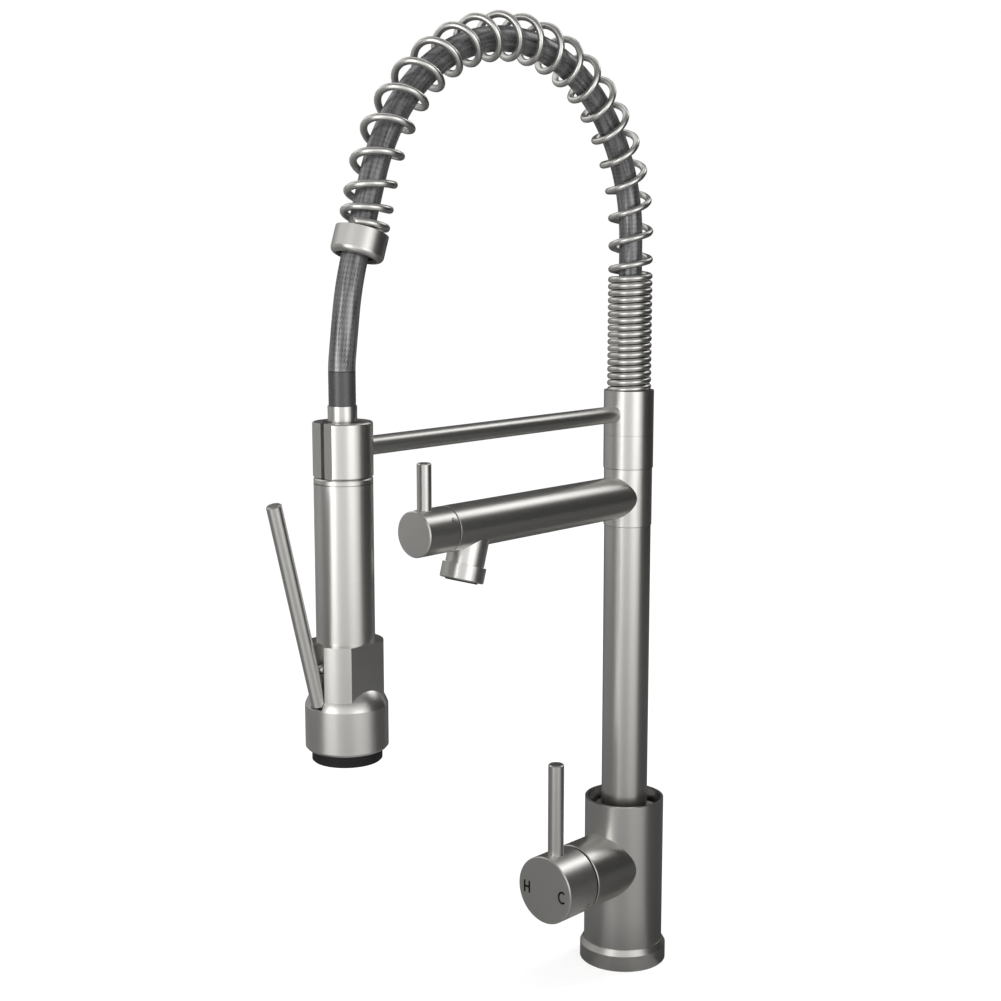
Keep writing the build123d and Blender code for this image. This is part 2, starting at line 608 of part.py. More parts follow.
def pot_filler_valve():
    low = ARM_LENGTH - VALVE_LENGTH
    body = along_arm(ARM_Z) * rod(ARM_R - ARM_WALL - PUSH_GAP, low, ARM_LENGTH)
    body -= along_arm(ARM_Z) * rod(VALVE_PORT_R + RUN_GAP, low, ARM_LENGTH)
    return body - on_nozzle() * rod(VALVE_PORT_R, 0, ARM_R)


def pot_filler_stem():
    low = ARM_LENGTH - VALVE_LENGTH + VALVE_SEAT
    return along_arm(ARM_Z) * rod(VALVE_STEM_R, low, ARM_LENGTH + VALVE_STEM_REACH)


def on_knob_side():
    """Places a set screw in the knob's side: +Z points out of the knob."""
    place = along_arm(ARM_Z) * Pos(0, 0, ARM_LENGTH + KNOB_GAP + KNOB_SCREW_BACK)
    return place * Rot(0, 0, -KNOB_SCREW_ANGLE) * Rot(-90, 0, 0)


def pot_filler_knob():
    low = ARM_LENGTH + KNOB_GAP
    high = low + KNOB_LENGTH
    knob = turned((0, low), (KNOB_R, low), (KNOB_R, high - EDGE), (KNOB_R - EDGE, high), (0, high))
    knob -= rod(KNOB_HOLLOW_R, low, low + KNOB_HOLLOW)
    knob -= rod(VALVE_STEM_R + PUSH_GAP, low, ARM_LENGTH + VALVE_STEM_REACH + FACE_GAP)
    knob = along_arm(ARM_Z) * knob
    seat = rod(KNOB_LEVER_R + PUSH_GAP, KNOB_R - LEVER_SEAT_DEPTH, KNOB_R + OVERCUT)
    knob -= Pos(0, KNOB_LEVER_BACK - high, ARM_Z) * seat
    return knob - on_knob_side() * rod(KNOB_SCREW_R + PUSH_GAP, VALVE_STEM_R, KNOB_R + OVERCUT)


def pot_filler_lever():
    out = ARM_LENGTH + KNOB_GAP + KNOB_LENGTH - KNOB_LEVER_BACK
    low = ARM_Z + KNOB_R - LEVER_SEAT_DEPTH
    high = ARM_Z + KNOB_LEVER_RISE
    bar = turned((0, low), (KNOB_LEVER_R, low), (KNOB_LEVER_R, high - EDGE),
                 (KNOB_LEVER_R - EDGE, high), (0, high))
    return Pos(0, -out, 0) * bar


def knob_screw():
    return on_knob_side() * set_screw(KNOB_SCREW_R, KNOB_SCREW_LENGTH, KNOB_R - SCREW_SINK)


def aerator_ring():
    high = NECK_LENGTH + AERATOR_SEAM
    low = NECK_LENGTH + AERATOR_LENGTH
    ledge = low - AERATOR_LEDGE
    ring = turned((SPIGOT_R + PUSH_GAP, high), (AERATOR_R, high), (AERATOR_R, low - EDGE),
                  (AERATOR_R - EDGE, low), (INSERT_R + PUSH_GAP, low), (INSERT_R + PUSH_GAP, ledge),
                  (SPIGOT_R + PUSH_GAP, ledge))
    return on_nozzle() * ring


def aerator_insert():
    low = NECK_LENGTH + AERATOR_LENGTH + INSERT_PROUD
    ledge = NECK_LENGTH + AERATOR_LENGTH - AERATOR_LEDGE
    body = rod(INSERT_R, ledge - INSERT_FLANGE, low) + rod(SPIGOT_R - PUSH_GAP, ledge - INSERT_FLANGE, ledge)
    hole = rod(INSERT_HOLE_R, ledge - INSERT_FLANGE, low)
    for cut in [hole, *around(INSERT_HOLES, INSERT_HOLE_RING, hole)]:
        body -= cut
    return on_nozzle() * body


def aerator_washer():
    high = NECK_LENGTH + SPIGOT_LENGTH + PUSH_GAP
    return on_nozzle() * tube(SPIGOT_R - PUSH_GAP, WASHER_BORE_R, high, high + AERATOR_WASHER)


# ------------------------------------------------------------------ holder arm
def upper_collar():
    low = COLLAR_Z + FACE_GAP
    socket = COLLAR_TOP_Z - COLLAR_SOCKET_DEPTH
    collar = tube(COLLAR_R, SPINDLE_NECK_R + RUN_GAP, low, COLLAR_TOP_Z)
    collar -= rod(COLLAR_SOCKET_R, socket, COLLAR_TOP_Z)
    collar -= rod(COIL_R + WIRE_R + CLEAR_GAP, COIL_FOOT_Z, COLLAR_TOP_Z)
    seat = COLLAR_R - ROD_SEAT_DEPTH
    return collar - along_arm(HOLDER_Z) * rod(HOLDER_ROD_R + PUSH_GAP, seat, COLLAR_R + OVERCUT)


def hose_nipple():
    low = COLLAR_TOP_Z - NIPPLE_BASE
    nipple = rod(COLLAR_SOCKET_R - PUSH_GAP, low, COIL_FOOT_Z) + rod(BARB_R, low, COLLAR_TOP_Z + BARB_LENGTH)
    return nipple - rod(NIPPLE_BORE_R, low, COLLAR_TOP_Z + BARB_LENGTH)


def spring_guide():
    outer = COIL_R - WIRE_R - CLEAR_GAP
    return tube(outer, HOSE_R + CLEAR_GAP, COIL_FOOT_Z, COIL_FOOT_Z + GUIDE_HEIGHT)


def holder_arm():
    far = HEAD_OUT - HOLDER_R + ROD_SEAT_DEPTH
    return along_arm(HOLDER_Z) * rod(HOLDER_ROD_R, COLLAR_R - ROD_SEAT_DEPTH, far)


def holder_ring():
    high = HOLDER_LOW_Z + HOLDER_HEIGHT
    ring = turned((HOLDER_BORE_R, HOLDER_LOW_Z), (HOLDER_R - EDGE, HOLDER_LOW_Z),
                  (HOLDER_R, HOLDER_LOW_Z + EDGE), (HOLDER_R, high - EDGE),
                  (HOLDER_R - EDGE, high), (HOLDER_BORE_R, high))
    middle = HOLDER_LOW_Z + HOLDER_HEIGHT / 2
    front = Align.MAX
    ring -= Pos(0, -HOLDER_FLAT, middle) * Box(
        2 * HOLDER_R, HOLDER_R, 2 * HOLDER_HEIGHT, align=(Align.CENTER, front, Align.CENTER))
    ring -= Pos(0, -HOLDER_BORE_R / 2, middle) * Box(
        HOLDER_SLIT, HOLDER_R, 2 * HOLDER_HEIGHT, align=(Align.CENTER, front, Align.CENTER))
    ring = on_head() * ring
    reach = HEAD_OUT - HOLDER_R
    return ring - along_arm(HOLDER_Z) * rod(HOLDER_ROD_R + PUSH_GAP, reach - OVERCUT, reach + ROD_SEAT_DEPTH)


# ------------------------------------------------------------------ spray head
def hose_ferrule():
    inner = HOSE_R + RUN_GAP
    floor = FERRULE_LOW_Z + FERRULE_FLOOR
    shell = turned((0, FERRULE_LOW_Z - SWIVEL_LENGTH), (SWIVEL_R, FERRULE_LOW_Z - SWIVEL_LENGTH),
                   (SWIVEL_R, FERRULE_LOW_Z), (FERRULE_R, FERRULE_LOW_Z), (FERRULE_R, FERRULE_TOP_Z),
                   (inner, FERRULE_TOP_Z), (inner, floor), (BARB_R, floor),
                   (BARB_R, floor + BARB_LENGTH), (0, floor + BARB_LENGTH))
    shell -= rod(NIPPLE_BORE_R, FERRULE_LOW_Z - SWIVEL_LENGTH, floor + BARB_LENGTH)
    shell -= seal_groove(SWIVEL_R, FERRULE_LOW_Z - SWIVEL_LENGTH + FERRULE_SEAL_RISE)
    return on_head() * shell


def ferrule_seal():
    return on_head() * ring_seal(SWIVEL_R, FERRULE_LOW_Z - SWIVEL_LENGTH + FERRULE_SEAL_RISE)


def head_connector():
    low = HEAD_RING_LOW_Z - CONNECTOR_PLUG
    plug = HEAD_TUBE_R - HEAD_TUBE_WALL - PUSH_GAP
    body = turned((0, low), (plug, low), (plug, HEAD_RING_LOW_Z), (HEAD_TUBE_R, HEAD_RING_LOW_Z),
                  (HEAD_TUBE_R, HEAD_RING_TOP_Z - EDGE), (HEAD_TUBE_R - EDGE, HEAD_RING_TOP_Z),
                  (HEAD_NECK_R, HEAD_RING_TOP_Z), (HEAD_NECK_R, NECK_TOP_Z), (0, NECK_TOP_Z))
    body -= rod(SWIVEL_R + RUN_GAP, FERRULE_LOW_Z - SWIVEL_LENGTH - CLEAR_GAP, NECK_TOP_Z)
    body -= rod(CONNECTOR_BORE_R, low, NECK_TOP_Z)
    return on_head() * (body - rod(CHECK_VALVE_R + PUSH_GAP, low, low + CHECK_VALVE_LENGTH + FACE_GAP))


def check_valve():
    low = HEAD_RING_LOW_Z - CONNECTOR_PLUG
    return on_head() * tube(CHECK_VALVE_R, CHECK_VALVE_BORE_R, low, low + CHECK_VALVE_LENGTH)


def head_tube():
    return on_head() * tube(HEAD_TUBE_R, HEAD_TUBE_R - HEAD_TUBE_WALL, BLOCK_TOP_Z, HEAD_TUBE_TOP_Z)


def cup_room(wall):
    """The cup's outline up to the valve body, drawn in by so much: a round wall under a ball."""
    ball_r = CUP_DOME_R - wall
    wall_r = CUP_R - wall
    rim = CUP_DOME_Z + sqrt(ball_r ** 2 - wall_r ** 2)
    cap = rod(wall_r, rim, BLOCK_LOW_Z) & Pos(0, 0, CUP_DOME_Z) * Sphere(ball_r)
    return cap + rod(wall_r, CUP_LOW_Z, rim)


def lever_room(floor, low, high):
    """The slot that the spray lever lies in, open towards -Y."""
    outward = (Align.CENTER, Align.MAX, Align.MIN)
    return Pos(0, -floor, low) * Box(SLOT_WIDTH, 2 * CUP_R, high - low, align=outward)


def valve_body():
    body = rod(VALVE_BODY_R, BLOCK_LOW_Z, BLOCK_TOP_Z)
    dome = Pos(0, 0, CUP_DOME_Z) * Sphere(CUP_DOME_R)
    for side in (-1, 1):
        slab = Box(CUP_R, 2 * CUP_R, 2 * VALVE_BODY_HEIGHT)
        body -= Pos(side * (VALVE_BODY_FLAT + CUP_R / 2), 0, BLOCK_TOP_Z) * slab - dome
    body += rod(SKIRT_R, BLOCK_LOW_Z - SKIRT_HEIGHT, BLOCK_LOW_Z)
    body += rod(HEAD_TUBE_R - HEAD_TUBE_WALL - PUSH_GAP, BLOCK_TOP_Z, BLOCK_TOP_Z + VALVE_SPIGOT)
    body -= rod(HEAD_BORE_R, BLOCK_LOW_Z - SKIRT_HEIGHT, BLOCK_TOP_Z + VALVE_SPIGOT)
    body -= rod(SKIRT_CHAMBER_R, BLOCK_LOW_Z - SKIRT_HEIGHT, BLOCK_LOW_Z - SKIRT_HEIGHT + SKIRT_CHAMBER)
    pivot = Pos(0, -PIVOT_OUT, BLOCK_LOW_Z - PIVOT_DROP) * Rot(0, 90, 0)
    body -= lever_room(SLOT_FLOOR, BLOCK_LOW_Z - PIVOT_DROP - EYE_R - CLEAR_GAP, BLOCK_TOP_Z)
    body -= pivot * Cylinder(EYE_R + CLEAR_GAP, SLOT_WIDTH)
    body -= pivot * Cylinder(PIVOT_R + PUSH_GAP, 2 * SKIRT_R)
    plunger_bore = along_arm(BLOCK_LOW_Z + PLUNGER_RISE) * rod(PLUNGER_R + RUN_GAP, -HEAD_BORE_R, SLOT_FLOOR)
    return on_head() * (body - plunger_bore)


def lever_pin():
    half = sqrt(SKIRT_R ** 2 - (PIVOT_OUT + PIVOT_R) ** 2)
    place = on_head() * Pos(0, -PIVOT_OUT, BLOCK_LOW_Z - PIVOT_DROP) * Rot(0, 90, 0)
    return place * Cylinder(PIVOT_R, 2 * half)


def valve_plunger():
    round_tip = PLUNGER_TIP - PLUNGER_R
    stem = rod(PLUNGER_R, PLUNGER_INNER, round_tip) + Pos(0, 0, round_tip) * Sphere(PLUNGER_R)
    return on_head() * along_arm(BLOCK_LOW_Z + PLUNGER_RISE) * stem


def spray_lever():
    foot = Pos(0, -SPRAY_LEVER_OUT, BLOCK_LOW_Z - SPRAY_LEVER_DROP) * Rot(SPRAY_LEVER_LEAN, 0, 0)
    length = SPRAY_LEVER_LENGTH
    lever = foot * turned((0, 0), (SPRAY_LEVER_R, 0), (SPRAY_LEVER_R, length - EDGE),
                          (SPRAY_LEVER_R - EDGE, length), (0, length))
    pivot = Pos(0, -PIVOT_OUT, BLOCK_LOW_Z - PIVOT_DROP)
    link = Box(FOOT_WIDTH, FOOT_THICKNESS, PIVOT_DROP, align=(Align.CENTER, Align.CENTER, Align.MIN))
    lever += pivot * Rot(LINK_LEAN, 0, 0) * link
    lever += pivot * Rot(0, 90, 0) * Cylinder(EYE_R, FOOT_WIDTH)
    return on_head() * (lever - pivot * Rot(0, 90, 0) * Cylinder(PIVOT_R + RUN_GAP, 2 * FOOT_WIDTH))


def spray_cup():
    lip = NOZZLE_RING_R + FACE_GAP
    cup = cup_room(0) - rod(CUP_R, CUP_LOW_Z, CUP_LOW_Z + CUP_FOOT_HEIGHT)
    cup += turned((0, CUP_LOW_Z), (CUP_R - CUP_FOOT_TAPER, CUP_LOW_Z), (CUP_R, CUP_LOW_Z + CUP_FOOT_HEIGHT),
                  (0, CUP_LOW_Z + CUP_FOOT_HEIGHT))
    cup -= cup_room(CUP_WALL) - rod(CUP_R, CUP_LOW_Z, CUP_LOW_Z + CUP_LIP_HEIGHT)
    cup -= rod(lip, CUP_LOW_Z, CUP_LOW_Z + CUP_LIP_HEIGHT)
    cup -= rod(SKIRT_R + PUSH_GAP, CUP_RIM_Z, BLOCK_LOW_Z)
    return on_head() * (cup - lever_room(0, BLOCK_LOW_Z - NOTCH_DROP, BLOCK_LOW_Z))


def nozzle_ring():
    low = CUP_LOW_Z - NOZZLE_RING_DROP
    flange = CUP_LOW_Z + CUP_LIP_HEIGHT + RUN_GAP
    high = flange + NOZZLE_FLANGE
    seat = low + PLATE_RECESS + PLATE_THICKNESS + PUSH_GAP
    return on_head() * turned(
        (PLATE_R + PUSH_GAP, low), (NOZZLE_RING_R - EDGE, low), (NOZZLE_RING_R, low + EDGE),
        (NOZZLE_RING_R, flange), (CUP_BORE_R - FACE_GAP, flange), (CUP_BORE_R - FACE_GAP, high),
        (SKIRT_CHAMBER_R, high), (SKIRT_CHAMBER_R, seat), (PLATE_R + PUSH_GAP, seat))


def spray_plate():
    low = CUP_LOW_Z - NOZZLE_RING_DROP + PLATE_RECESS
    plate = rod(PLATE_R, low, low + PLATE_THICKNESS)
    for radius, count in JET_RINGS:
        for jet in around(count, radius, rod(JET_R, low, low + PLATE_THICKNESS)):
            plate -= jet
    return on_head() * plate


# ------------------------------------------------------------------ hose
def in_plane(out, height):
    """A point of the arch's plane."""
    return Vector(0, -out, height)


def hose_path():
    """The hose's centre line: up, over, down at a lean, and back to upright in two bends."""
    start = in_plane(0, COIL_FOOT_Z + FACE_GAP)
    spring_line = in_plane(0, HOSE_ARCH_Z)
    arch_end = in_plane(HOSE_ARCH_R * (1 + cos(LEAN)), HOSE_ARCH_Z + HOSE_ARCH_R * sin(LEAN))
    down = in_plane(sin(LEAN), -cos(LEAN))
    bend_start = arch_end + down * HOSE_RUN
    low_down = in_plane(sin(LOW_LEAN), -cos(LOW_LEAN))
    bend_end = in_plane(HEAD_OUT - LOW_OUT, HOSE_BEND_Z)
    foot_start = bend_end + low_down * HOSE_LOW_RUN
    foot_end = in_plane(HEAD_OUT, HOSE_FOOT_Z)
    end = in_plane(HEAD_OUT, HOSE_END_Z)
    return Wire([
        Edge.make_line(start, spring_line),
        Edge.make_tangent_arc(spring_line, Vector(0, 0, 1), arch_end),
        Edge.make_line(arch_end, bend_start),
        Edge.make_tangent_arc(bend_start, down, bend_end),
        Edge.make_line(bend_end, foot_start),
        Edge.make_tangent_arc(foot_start, low_down, foot_end),
        Edge.make_line(foot_end, end)])


def hose():
    path = hose_path()
    plane = Plane(path @ 0, x_dir=(1, 0, 0), z_dir=(0, 0, 1))
    hose_tube = sweep(plane * Circle(HOSE_R), path=path) - sweep(plane * Circle(HOSE_BORE_R), path=path)
    section = pi * (HOSE_R ** 2 - HOSE_BORE_R ** 2)
    print(f"hose radii {HOSE_ARCH_R}, {HOSE_BEND_R} and {HOSE_FOOT_R} mm, length {path.length:.1f} mm, "
          f"volume over section x length {hose_tube.volume / (section * path.length):.5f}")
    return hose_tube


# ------------------------------------------------------------------ spring
COIL_LIFT = WIRE_R + CLEAR_GAP      # the wire's centre above the face that the spring stands on
COIL_RISE = COIL_ARCH_Z - COIL_FOOT_Z
COIL_ARCH = COIL_ARCH_R * radians(180 - COIL_TURN_OUT)
COIL_OUT = COIL_TURN_OUT_R * radians(COIL_LEAN - COIL_TURN_OUT)
COIL_LENGTH = COIL_RISE + COIL_ARCH + COIL_OUT
TURN_OUT = radians(COIL_TURN_OUT)


def coil_line(distance):
    """Point, direction, outward normal and bend (1/radius) of the coil's centre line."""
    if distance < COIL_RISE:
        return in_plane(0, COIL_FOOT_Z + distance), Vector(0, 0, 1), Vector(0, 1, 0), 0
    if distance < COIL_RISE + COIL_ARCH:
        turn = (distance - COIL_RISE) / COIL_ARCH_R
        centre = in_plane(COIL_ARCH_R, COIL_ARCH_Z)
        outward = in_plane(-cos(turn), sin(turn))
        return centre + outward * COIL_ARCH_R, in_plane(sin(turn), cos(turn)), outward, 1 / COIL_ARCH_R
    lean = TURN_OUT + (distance - COIL_RISE - COIL_ARCH) / COIL_TURN_OUT_R
    corner = in_plane(COIL_ARCH_R * (1 + cos(TURN_OUT)), COIL_ARCH_Z + COIL_ARCH_R * sin(TURN_OUT))
    shift = in_plane(cos(TURN_OUT) - cos(lean), sin(TURN_OUT) - sin(lean)) * COIL_TURN_OUT_R
    along = in_plane(sin(lean), -cos(lean))
    outward = in_plane(cos(lean), sin(lean))
    return corner + shift, along, outward, -1 / COIL_TURN_OUT_R


def pitch_stages():
    """Stages of the winding as (turns, pitch at the start, pitch at the end)."""
    closed = TURNS_CLOSED * PITCH_CLOSED + TURNS_OPENING * PITCH_CLOSED / 2 + TURNS_CLOSING * PITCH_END / 2
    open_turns = TURNS_OPENING / 2 + TURNS_OPEN + TURNS_CLOSING / 2
    pitch_open = (COIL_LENGTH - 2 * COIL_LIFT - closed) / open_turns
    return [
        (TURNS_CLOSED, PITCH_CLOSED, PITCH_CLOSED),
        (TURNS_OPENING, PITCH_CLOSED, pitch_open),
        (TURNS_OPEN, pitch_open, pitch_open),
        (TURNS_CLOSING, pitch_open, PITCH_END)]


def coil_advance(turn):
    """Distance along the centre line, and the pitch, after so many turns."""
    distance = COIL_LIFT
    for turns, first, last in pitch_stages():
        part = min(turn, turns)
        pitch = first + (last - first) * part / turns
        distance += part * (first + pitch) / 2
        turn -= part
        if turn <= 0:
            break
    return distance, pitch


def coil_station(turn):
    """Point and direction of the wire after so many turns of a right-handed coil."""
    distance, pitch = coil_advance(turn)
    centre, along, outward, bend = coil_line(distance)
    sideways = along.cross(outward)
    angle = 2 * pi * turn
    spoke = outward * cos(angle) + sideways * sin(angle)
    swing = sideways * cos(angle) - outward * sin(angle)
    direction = along * (pitch * (1 + COIL_R * bend * cos(angle))) + swing * (2 * pi * COIL_R)
    return centre + spoke * COIL_R, direction.normalized()


def biarc(start, leaving, end, arriving):
    """Two tangent arcs between two points with given directions."""
    chord = end - start
    both = leaving + arriving
    spread = 2 * (1 - leaving.dot(arriving))
    reach = (sqrt(chord.dot(both) ** 2 + spread * chord.dot(chord)) - chord.dot(both)) / spread
    joint = (start + leaving * reach + end - arriving * reach) * 0.5
    middle = (end - arriving * reach - start - leaving * reach).normalized()
    return [Edge.make_tangent_arc(start, leaving, joint), Edge.make_tangent_arc(joint, middle, end)]


def spring():
    turns = sum(stage[0] for stage in pitch_stages())
    steps = round(turns * STEPS_PER_TURN)
    stations = [coil_station(turns * step / steps) for step in range(steps + 1)]
    (first, leaving), (last, arriving) = stations[0], stations[-1]
    edges = [Edge.make_line(first - leaving * WIRE_R, first)]
    for (start, out_of), (end, into) in zip(stations, stations[1:]):
        edges += biarc(start, out_of, end, into)
    edges.append(Edge.make_line(last, last + arriving * WIRE_R))
    path = Wire(edges)
    section = Plane(path @ 0, z_dir=leaving) * Circle(WIRE_R)
    coil = sweep(section, path=path)
    print(f"spring: {turns:.1f} turns, open pitch {pitch_stages()[2][1]:.2f} mm, wire {path.length:.0f} mm, "
          f"volume over section x length {coil.volume / (pi * WIRE_R ** 2 * path.length):.5f}")
    print(f"spring: least gap to itself {coil_gap(turns):.2f} mm")
    return coil


def coil_gap(turns, per_turn=24):
    """Least gap between the wire and its neighbouring turns, measured on points."""
    points = [coil_station(step / per_turn)[0] for step in range(int(turns * per_turn) + 1)]
    least = 2 * COIL_R
    for i, point in enumerate(points):
        for other in points[i + per_turn // 2:i + per_turn * 3 // 2]:
            least = min(least, (point - other).length)
    return least - 2 * WIRE_R


# ------------------------------------------------------------------ end collar
def on_coil_end():
    """Places a piece on the coil's end: +Z runs on down the coil's axis."""
    point = coil_line(COIL_LENGTH)[0]
    return Pos(*point) * Rot(180 - COIL_LEAN, 0, 0)


def spring_end_collar():
    inner = END_COLLAR_BORE_R
    length = END_COLLAR_LENGTH
    body = tube(END_COLLAR_R, inner, 0, length)
    outer_foot = body.edges().filter_by(GeomType.CIRCLE).group_by(Axis.Z)[-1].sort_by(SortBy.RADIUS)[-1]
    body = fillet(outer_foot, min(END_COLLAR_ROUND, 0.9 * (END_COLLAR_R - inner)))
    return on_coil_end() * body


def collar_bush():
    outer = END_COLLAR_BORE_R - PUSH_GAP
    bush = tube(outer, BUSH_BORE_R, BUSH_SHOULDER, END_COLLAR_LENGTH - BUSH_SHOULDER)
    return on_coil_end() * bush


# ------------------------------------------------------------------ writing the pieces
PIECES = [
    base_ring, base_gasket, inlet_block, mixer_body,
    mixer_cartridge, cartridge_seals, fixed_disc, moving_disc, cartridge_carrier, cartridge_stem,
    cartridge_nut, cartridge_dome, mixer_hub, hub_set_screw, mixer_lever,
    column_tube, column_seal, column_nut, column_spindle, hub_seals, hub_washers,
    collar_seals, collar_circlip, lower_collar,
    pot_filler_arm, pot_filler_valve, pot_filler_stem, pot_filler_knob, pot_filler_lever, knob_screw,
    aerator_ring, aerator_insert, aerator_washer,
    upper_collar, hose_nipple, spring_guide, holder_arm, holder_ring, hose, spring,
    spring_end_collar, collar_bush, hose_ferrule, ferrule_seal,
    head_connector, check_valve, head_tube, valve_body, lever_pin, valve_plunger, spray_lever,
    spray_cup, nozzle_ring, spray_plate]


def write_pieces():
    os.makedirs("parts", exist_ok=True)
    for make in PIECES:
        shape = make()
        solids = shape if isinstance(shape, list) else [shape]
        export_step(Compound(children=[solid for piece in solids for solid in piece.solids()]),
                    f"parts/{make.__name__}.step")
    print(f"reach of the spray head {HEAD_OUT:.1f} mm, top of the coil "
          f"{COIL_ARCH_Z + COIL_ARCH_R + COIL_R + WIRE_R:.1f} mm")


write_pieces()
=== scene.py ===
# %% [markdown]
# # A kitchen mixer with a spring-held spray
# This lesson dresses a finished mechanical model. Every metal piece already has its right shape
# and place in the frame that is loaded first, so what is left for Blender is what the eye reads
# as real: the brushed steel, the braided hose, the bright wire of the spring, the printed marks,
# the light and the camera. Nothing here moves or reshapes a loaded piece.

# %% The frame
import json
from math import cos, pi, radians, sin, tau

import bmesh
import bpy
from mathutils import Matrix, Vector


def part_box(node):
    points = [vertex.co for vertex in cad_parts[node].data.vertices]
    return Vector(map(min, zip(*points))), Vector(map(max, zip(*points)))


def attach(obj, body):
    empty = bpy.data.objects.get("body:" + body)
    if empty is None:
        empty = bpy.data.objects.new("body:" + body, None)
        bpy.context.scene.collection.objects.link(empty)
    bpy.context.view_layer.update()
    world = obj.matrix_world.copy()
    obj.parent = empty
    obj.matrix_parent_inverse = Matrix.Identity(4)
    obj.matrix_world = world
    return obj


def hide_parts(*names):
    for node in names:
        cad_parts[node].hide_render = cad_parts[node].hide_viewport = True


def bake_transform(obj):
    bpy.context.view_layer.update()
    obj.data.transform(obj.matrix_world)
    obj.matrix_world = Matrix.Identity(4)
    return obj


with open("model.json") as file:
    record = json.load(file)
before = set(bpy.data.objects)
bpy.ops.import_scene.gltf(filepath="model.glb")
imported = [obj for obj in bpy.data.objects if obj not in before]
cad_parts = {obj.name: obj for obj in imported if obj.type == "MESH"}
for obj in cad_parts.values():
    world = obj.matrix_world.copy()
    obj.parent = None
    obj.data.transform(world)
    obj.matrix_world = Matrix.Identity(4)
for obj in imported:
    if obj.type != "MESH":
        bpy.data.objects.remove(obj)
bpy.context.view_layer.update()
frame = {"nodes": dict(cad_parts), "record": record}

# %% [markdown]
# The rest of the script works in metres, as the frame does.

MM = 0.001
nodes = frame["nodes"]
print("pieces in the frame:", len(nodes))

# %% [markdown]
# ## Where things are
# A few heights and places are read from the loaded pieces, so that the new pieces sit on them
# exactly. The corners of a piece's box are enough: the spray head is turned about an upright
# axis, so the middle of its box is that axis.

# %% Places read from the frame
def middle(node):
    low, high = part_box(node)
    return (Vector(low) + Vector(high)) / 2


collar_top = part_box("upper_collar")[1][2]
head_out = -middle("head_tube").y
hub_face = -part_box("mixer_hub")[0][1]
hub_height = middle("mixer_hub").z
print(f"collar top {collar_top:.4f}, head {head_out:.4f} out, hub face {hub_face:.4f} out")

# %% [markdown]
# ## The camera
# The photograph is taken from the right and a little above, with a short telephoto lens. A
# camera's distance sets how fast things shrink with depth, its focal length sets their size,
# and its tilt sets how round the tops of the cylinders look. These values come from a fit that
# laid the edges of the column, the body, the arms and the spray head on those in the photograph.

# %% The camera
CAMERA_PLACE = Vector((0.62548, -0.79450, 0.45048))
CAMERA_TURN = 42.544    # degrees about Z, from looking along +Y
CAMERA_TILT = 9.124     # degrees below the horizon
CAMERA_LENS = 61.15     # mm
CAMERA_SENSOR = 36      # mm, its width

camera = bpy.data.objects.new("camera", bpy.data.cameras.new("camera"))
camera.location = CAMERA_PLACE
camera.rotation_euler = (radians(90 - CAMERA_TILT), 0, radians(CAMERA_TURN))
camera.data.lens = CAMERA_LENS
camera.data.sensor_width = CAMERA_SENSOR
bpy.context.scene.collection.objects.link(camera)
bpy.context.scene.camera = camera
print("camera is", round(CAMERA_PLACE.length, 3), "m from the foot of the column")

# %% [markdown]
# ## Small helpers for finishes
# A finish is a graph of shader nodes. Writing each graph by hand takes many lines, so a few
# helpers add a node, wire its inputs and hand back its output. A finish then reads like a
# recipe. A value that is the same all over is typed straight into the shader's own socket.
# Most finishes here have two tones: a noise moves both colour and gloss from one to the other.

# %% Helpers for node graphs
NOISE_RANGE = (0.3, 0.7)    # a noise seldom leaves this range


def new_finish(name, colour, roughness, metallic=0.0):
    """A material with its shader's plain values set. Returns the material and the shader."""
    finish = bpy.data.materials.new(name)
    finish.use_nodes = True
    shader = finish.node_tree.nodes["Principled BSDF"]
    shader.inputs["Base Color"].default_value = (*colour, 1)
    shader.inputs["Roughness"].default_value = roughness
    shader.inputs["Metallic"].default_value = metallic
    finish.diffuse_color = (*colour, 1)
    return finish, shader


def add_node(finish, kind, values=None, **settings):
    """Adds a node, sets its properties, and wires or sets its inputs."""
    node = finish.node_tree.nodes.new(kind)
    for name, value in settings.items():
        setattr(node, name, value)
    for key, value in (values or {}).items():
        if isinstance(value, bpy.types.NodeSocket):
            finish.node_tree.links.new(value, node.inputs[key])
        else:
            node.inputs[key].default_value = value
    return node


def sums(finish, operation, first, second=0.0, third=0.0):
    """One step of arithmetic."""
    return add_node(finish, "ShaderNodeMath", {0: first, 1: second, 2: third}, operation=operation).outputs[0]


def spread(finish, value, low, high, from_low=0.0, from_high=1.0):
    """Turns a value's range into another range."""
    return add_node(finish, "ShaderNodeMapRange", {
        "Value": value, "From Min": from_low, "From Max": from_high,
        "To Min": low, "To Max": high}).outputs[0]


def mottled(finish, place, scale, detail=3.0):
    """Noise at this many cells per metre, or per unit of a squeezed place."""
    return add_node(finish, "ShaderNodeTexNoise", {
        "Vector": place, "Scale": scale, "Detail": detail}).outputs["Fac"]


def coordinates(finish, kind):
    """Where a point is: "Object" in metres, or "UV" round a tube and in metres along it."""
    return add_node(finish, "ShaderNodeTexCoord").outputs[kind]


def parts(finish, place):
    """The three parts of a place."""
    return add_node(finish, "ShaderNodeSeparateXYZ", {0: place}).outputs


def squeezed(finish, place, scale):
    """A place with each part scaled by itself, which draws a noise out where the scale is small."""
    return add_node(finish, "ShaderNodeMapping", {"Vector": place, "Scale": scale}).outputs[0]


def between(finish, share, first, second):
    """A colour between two colours."""
    mix = add_node(finish, "ShaderNodeMix", {0: share, 6: (*first, 1), 7: (*second, 1)}, data_type="RGBA")
    return mix.outputs[2]


def plug(finish, output, shader, socket):
    finish.node_tree.links.new(output, shader.inputs[socket])


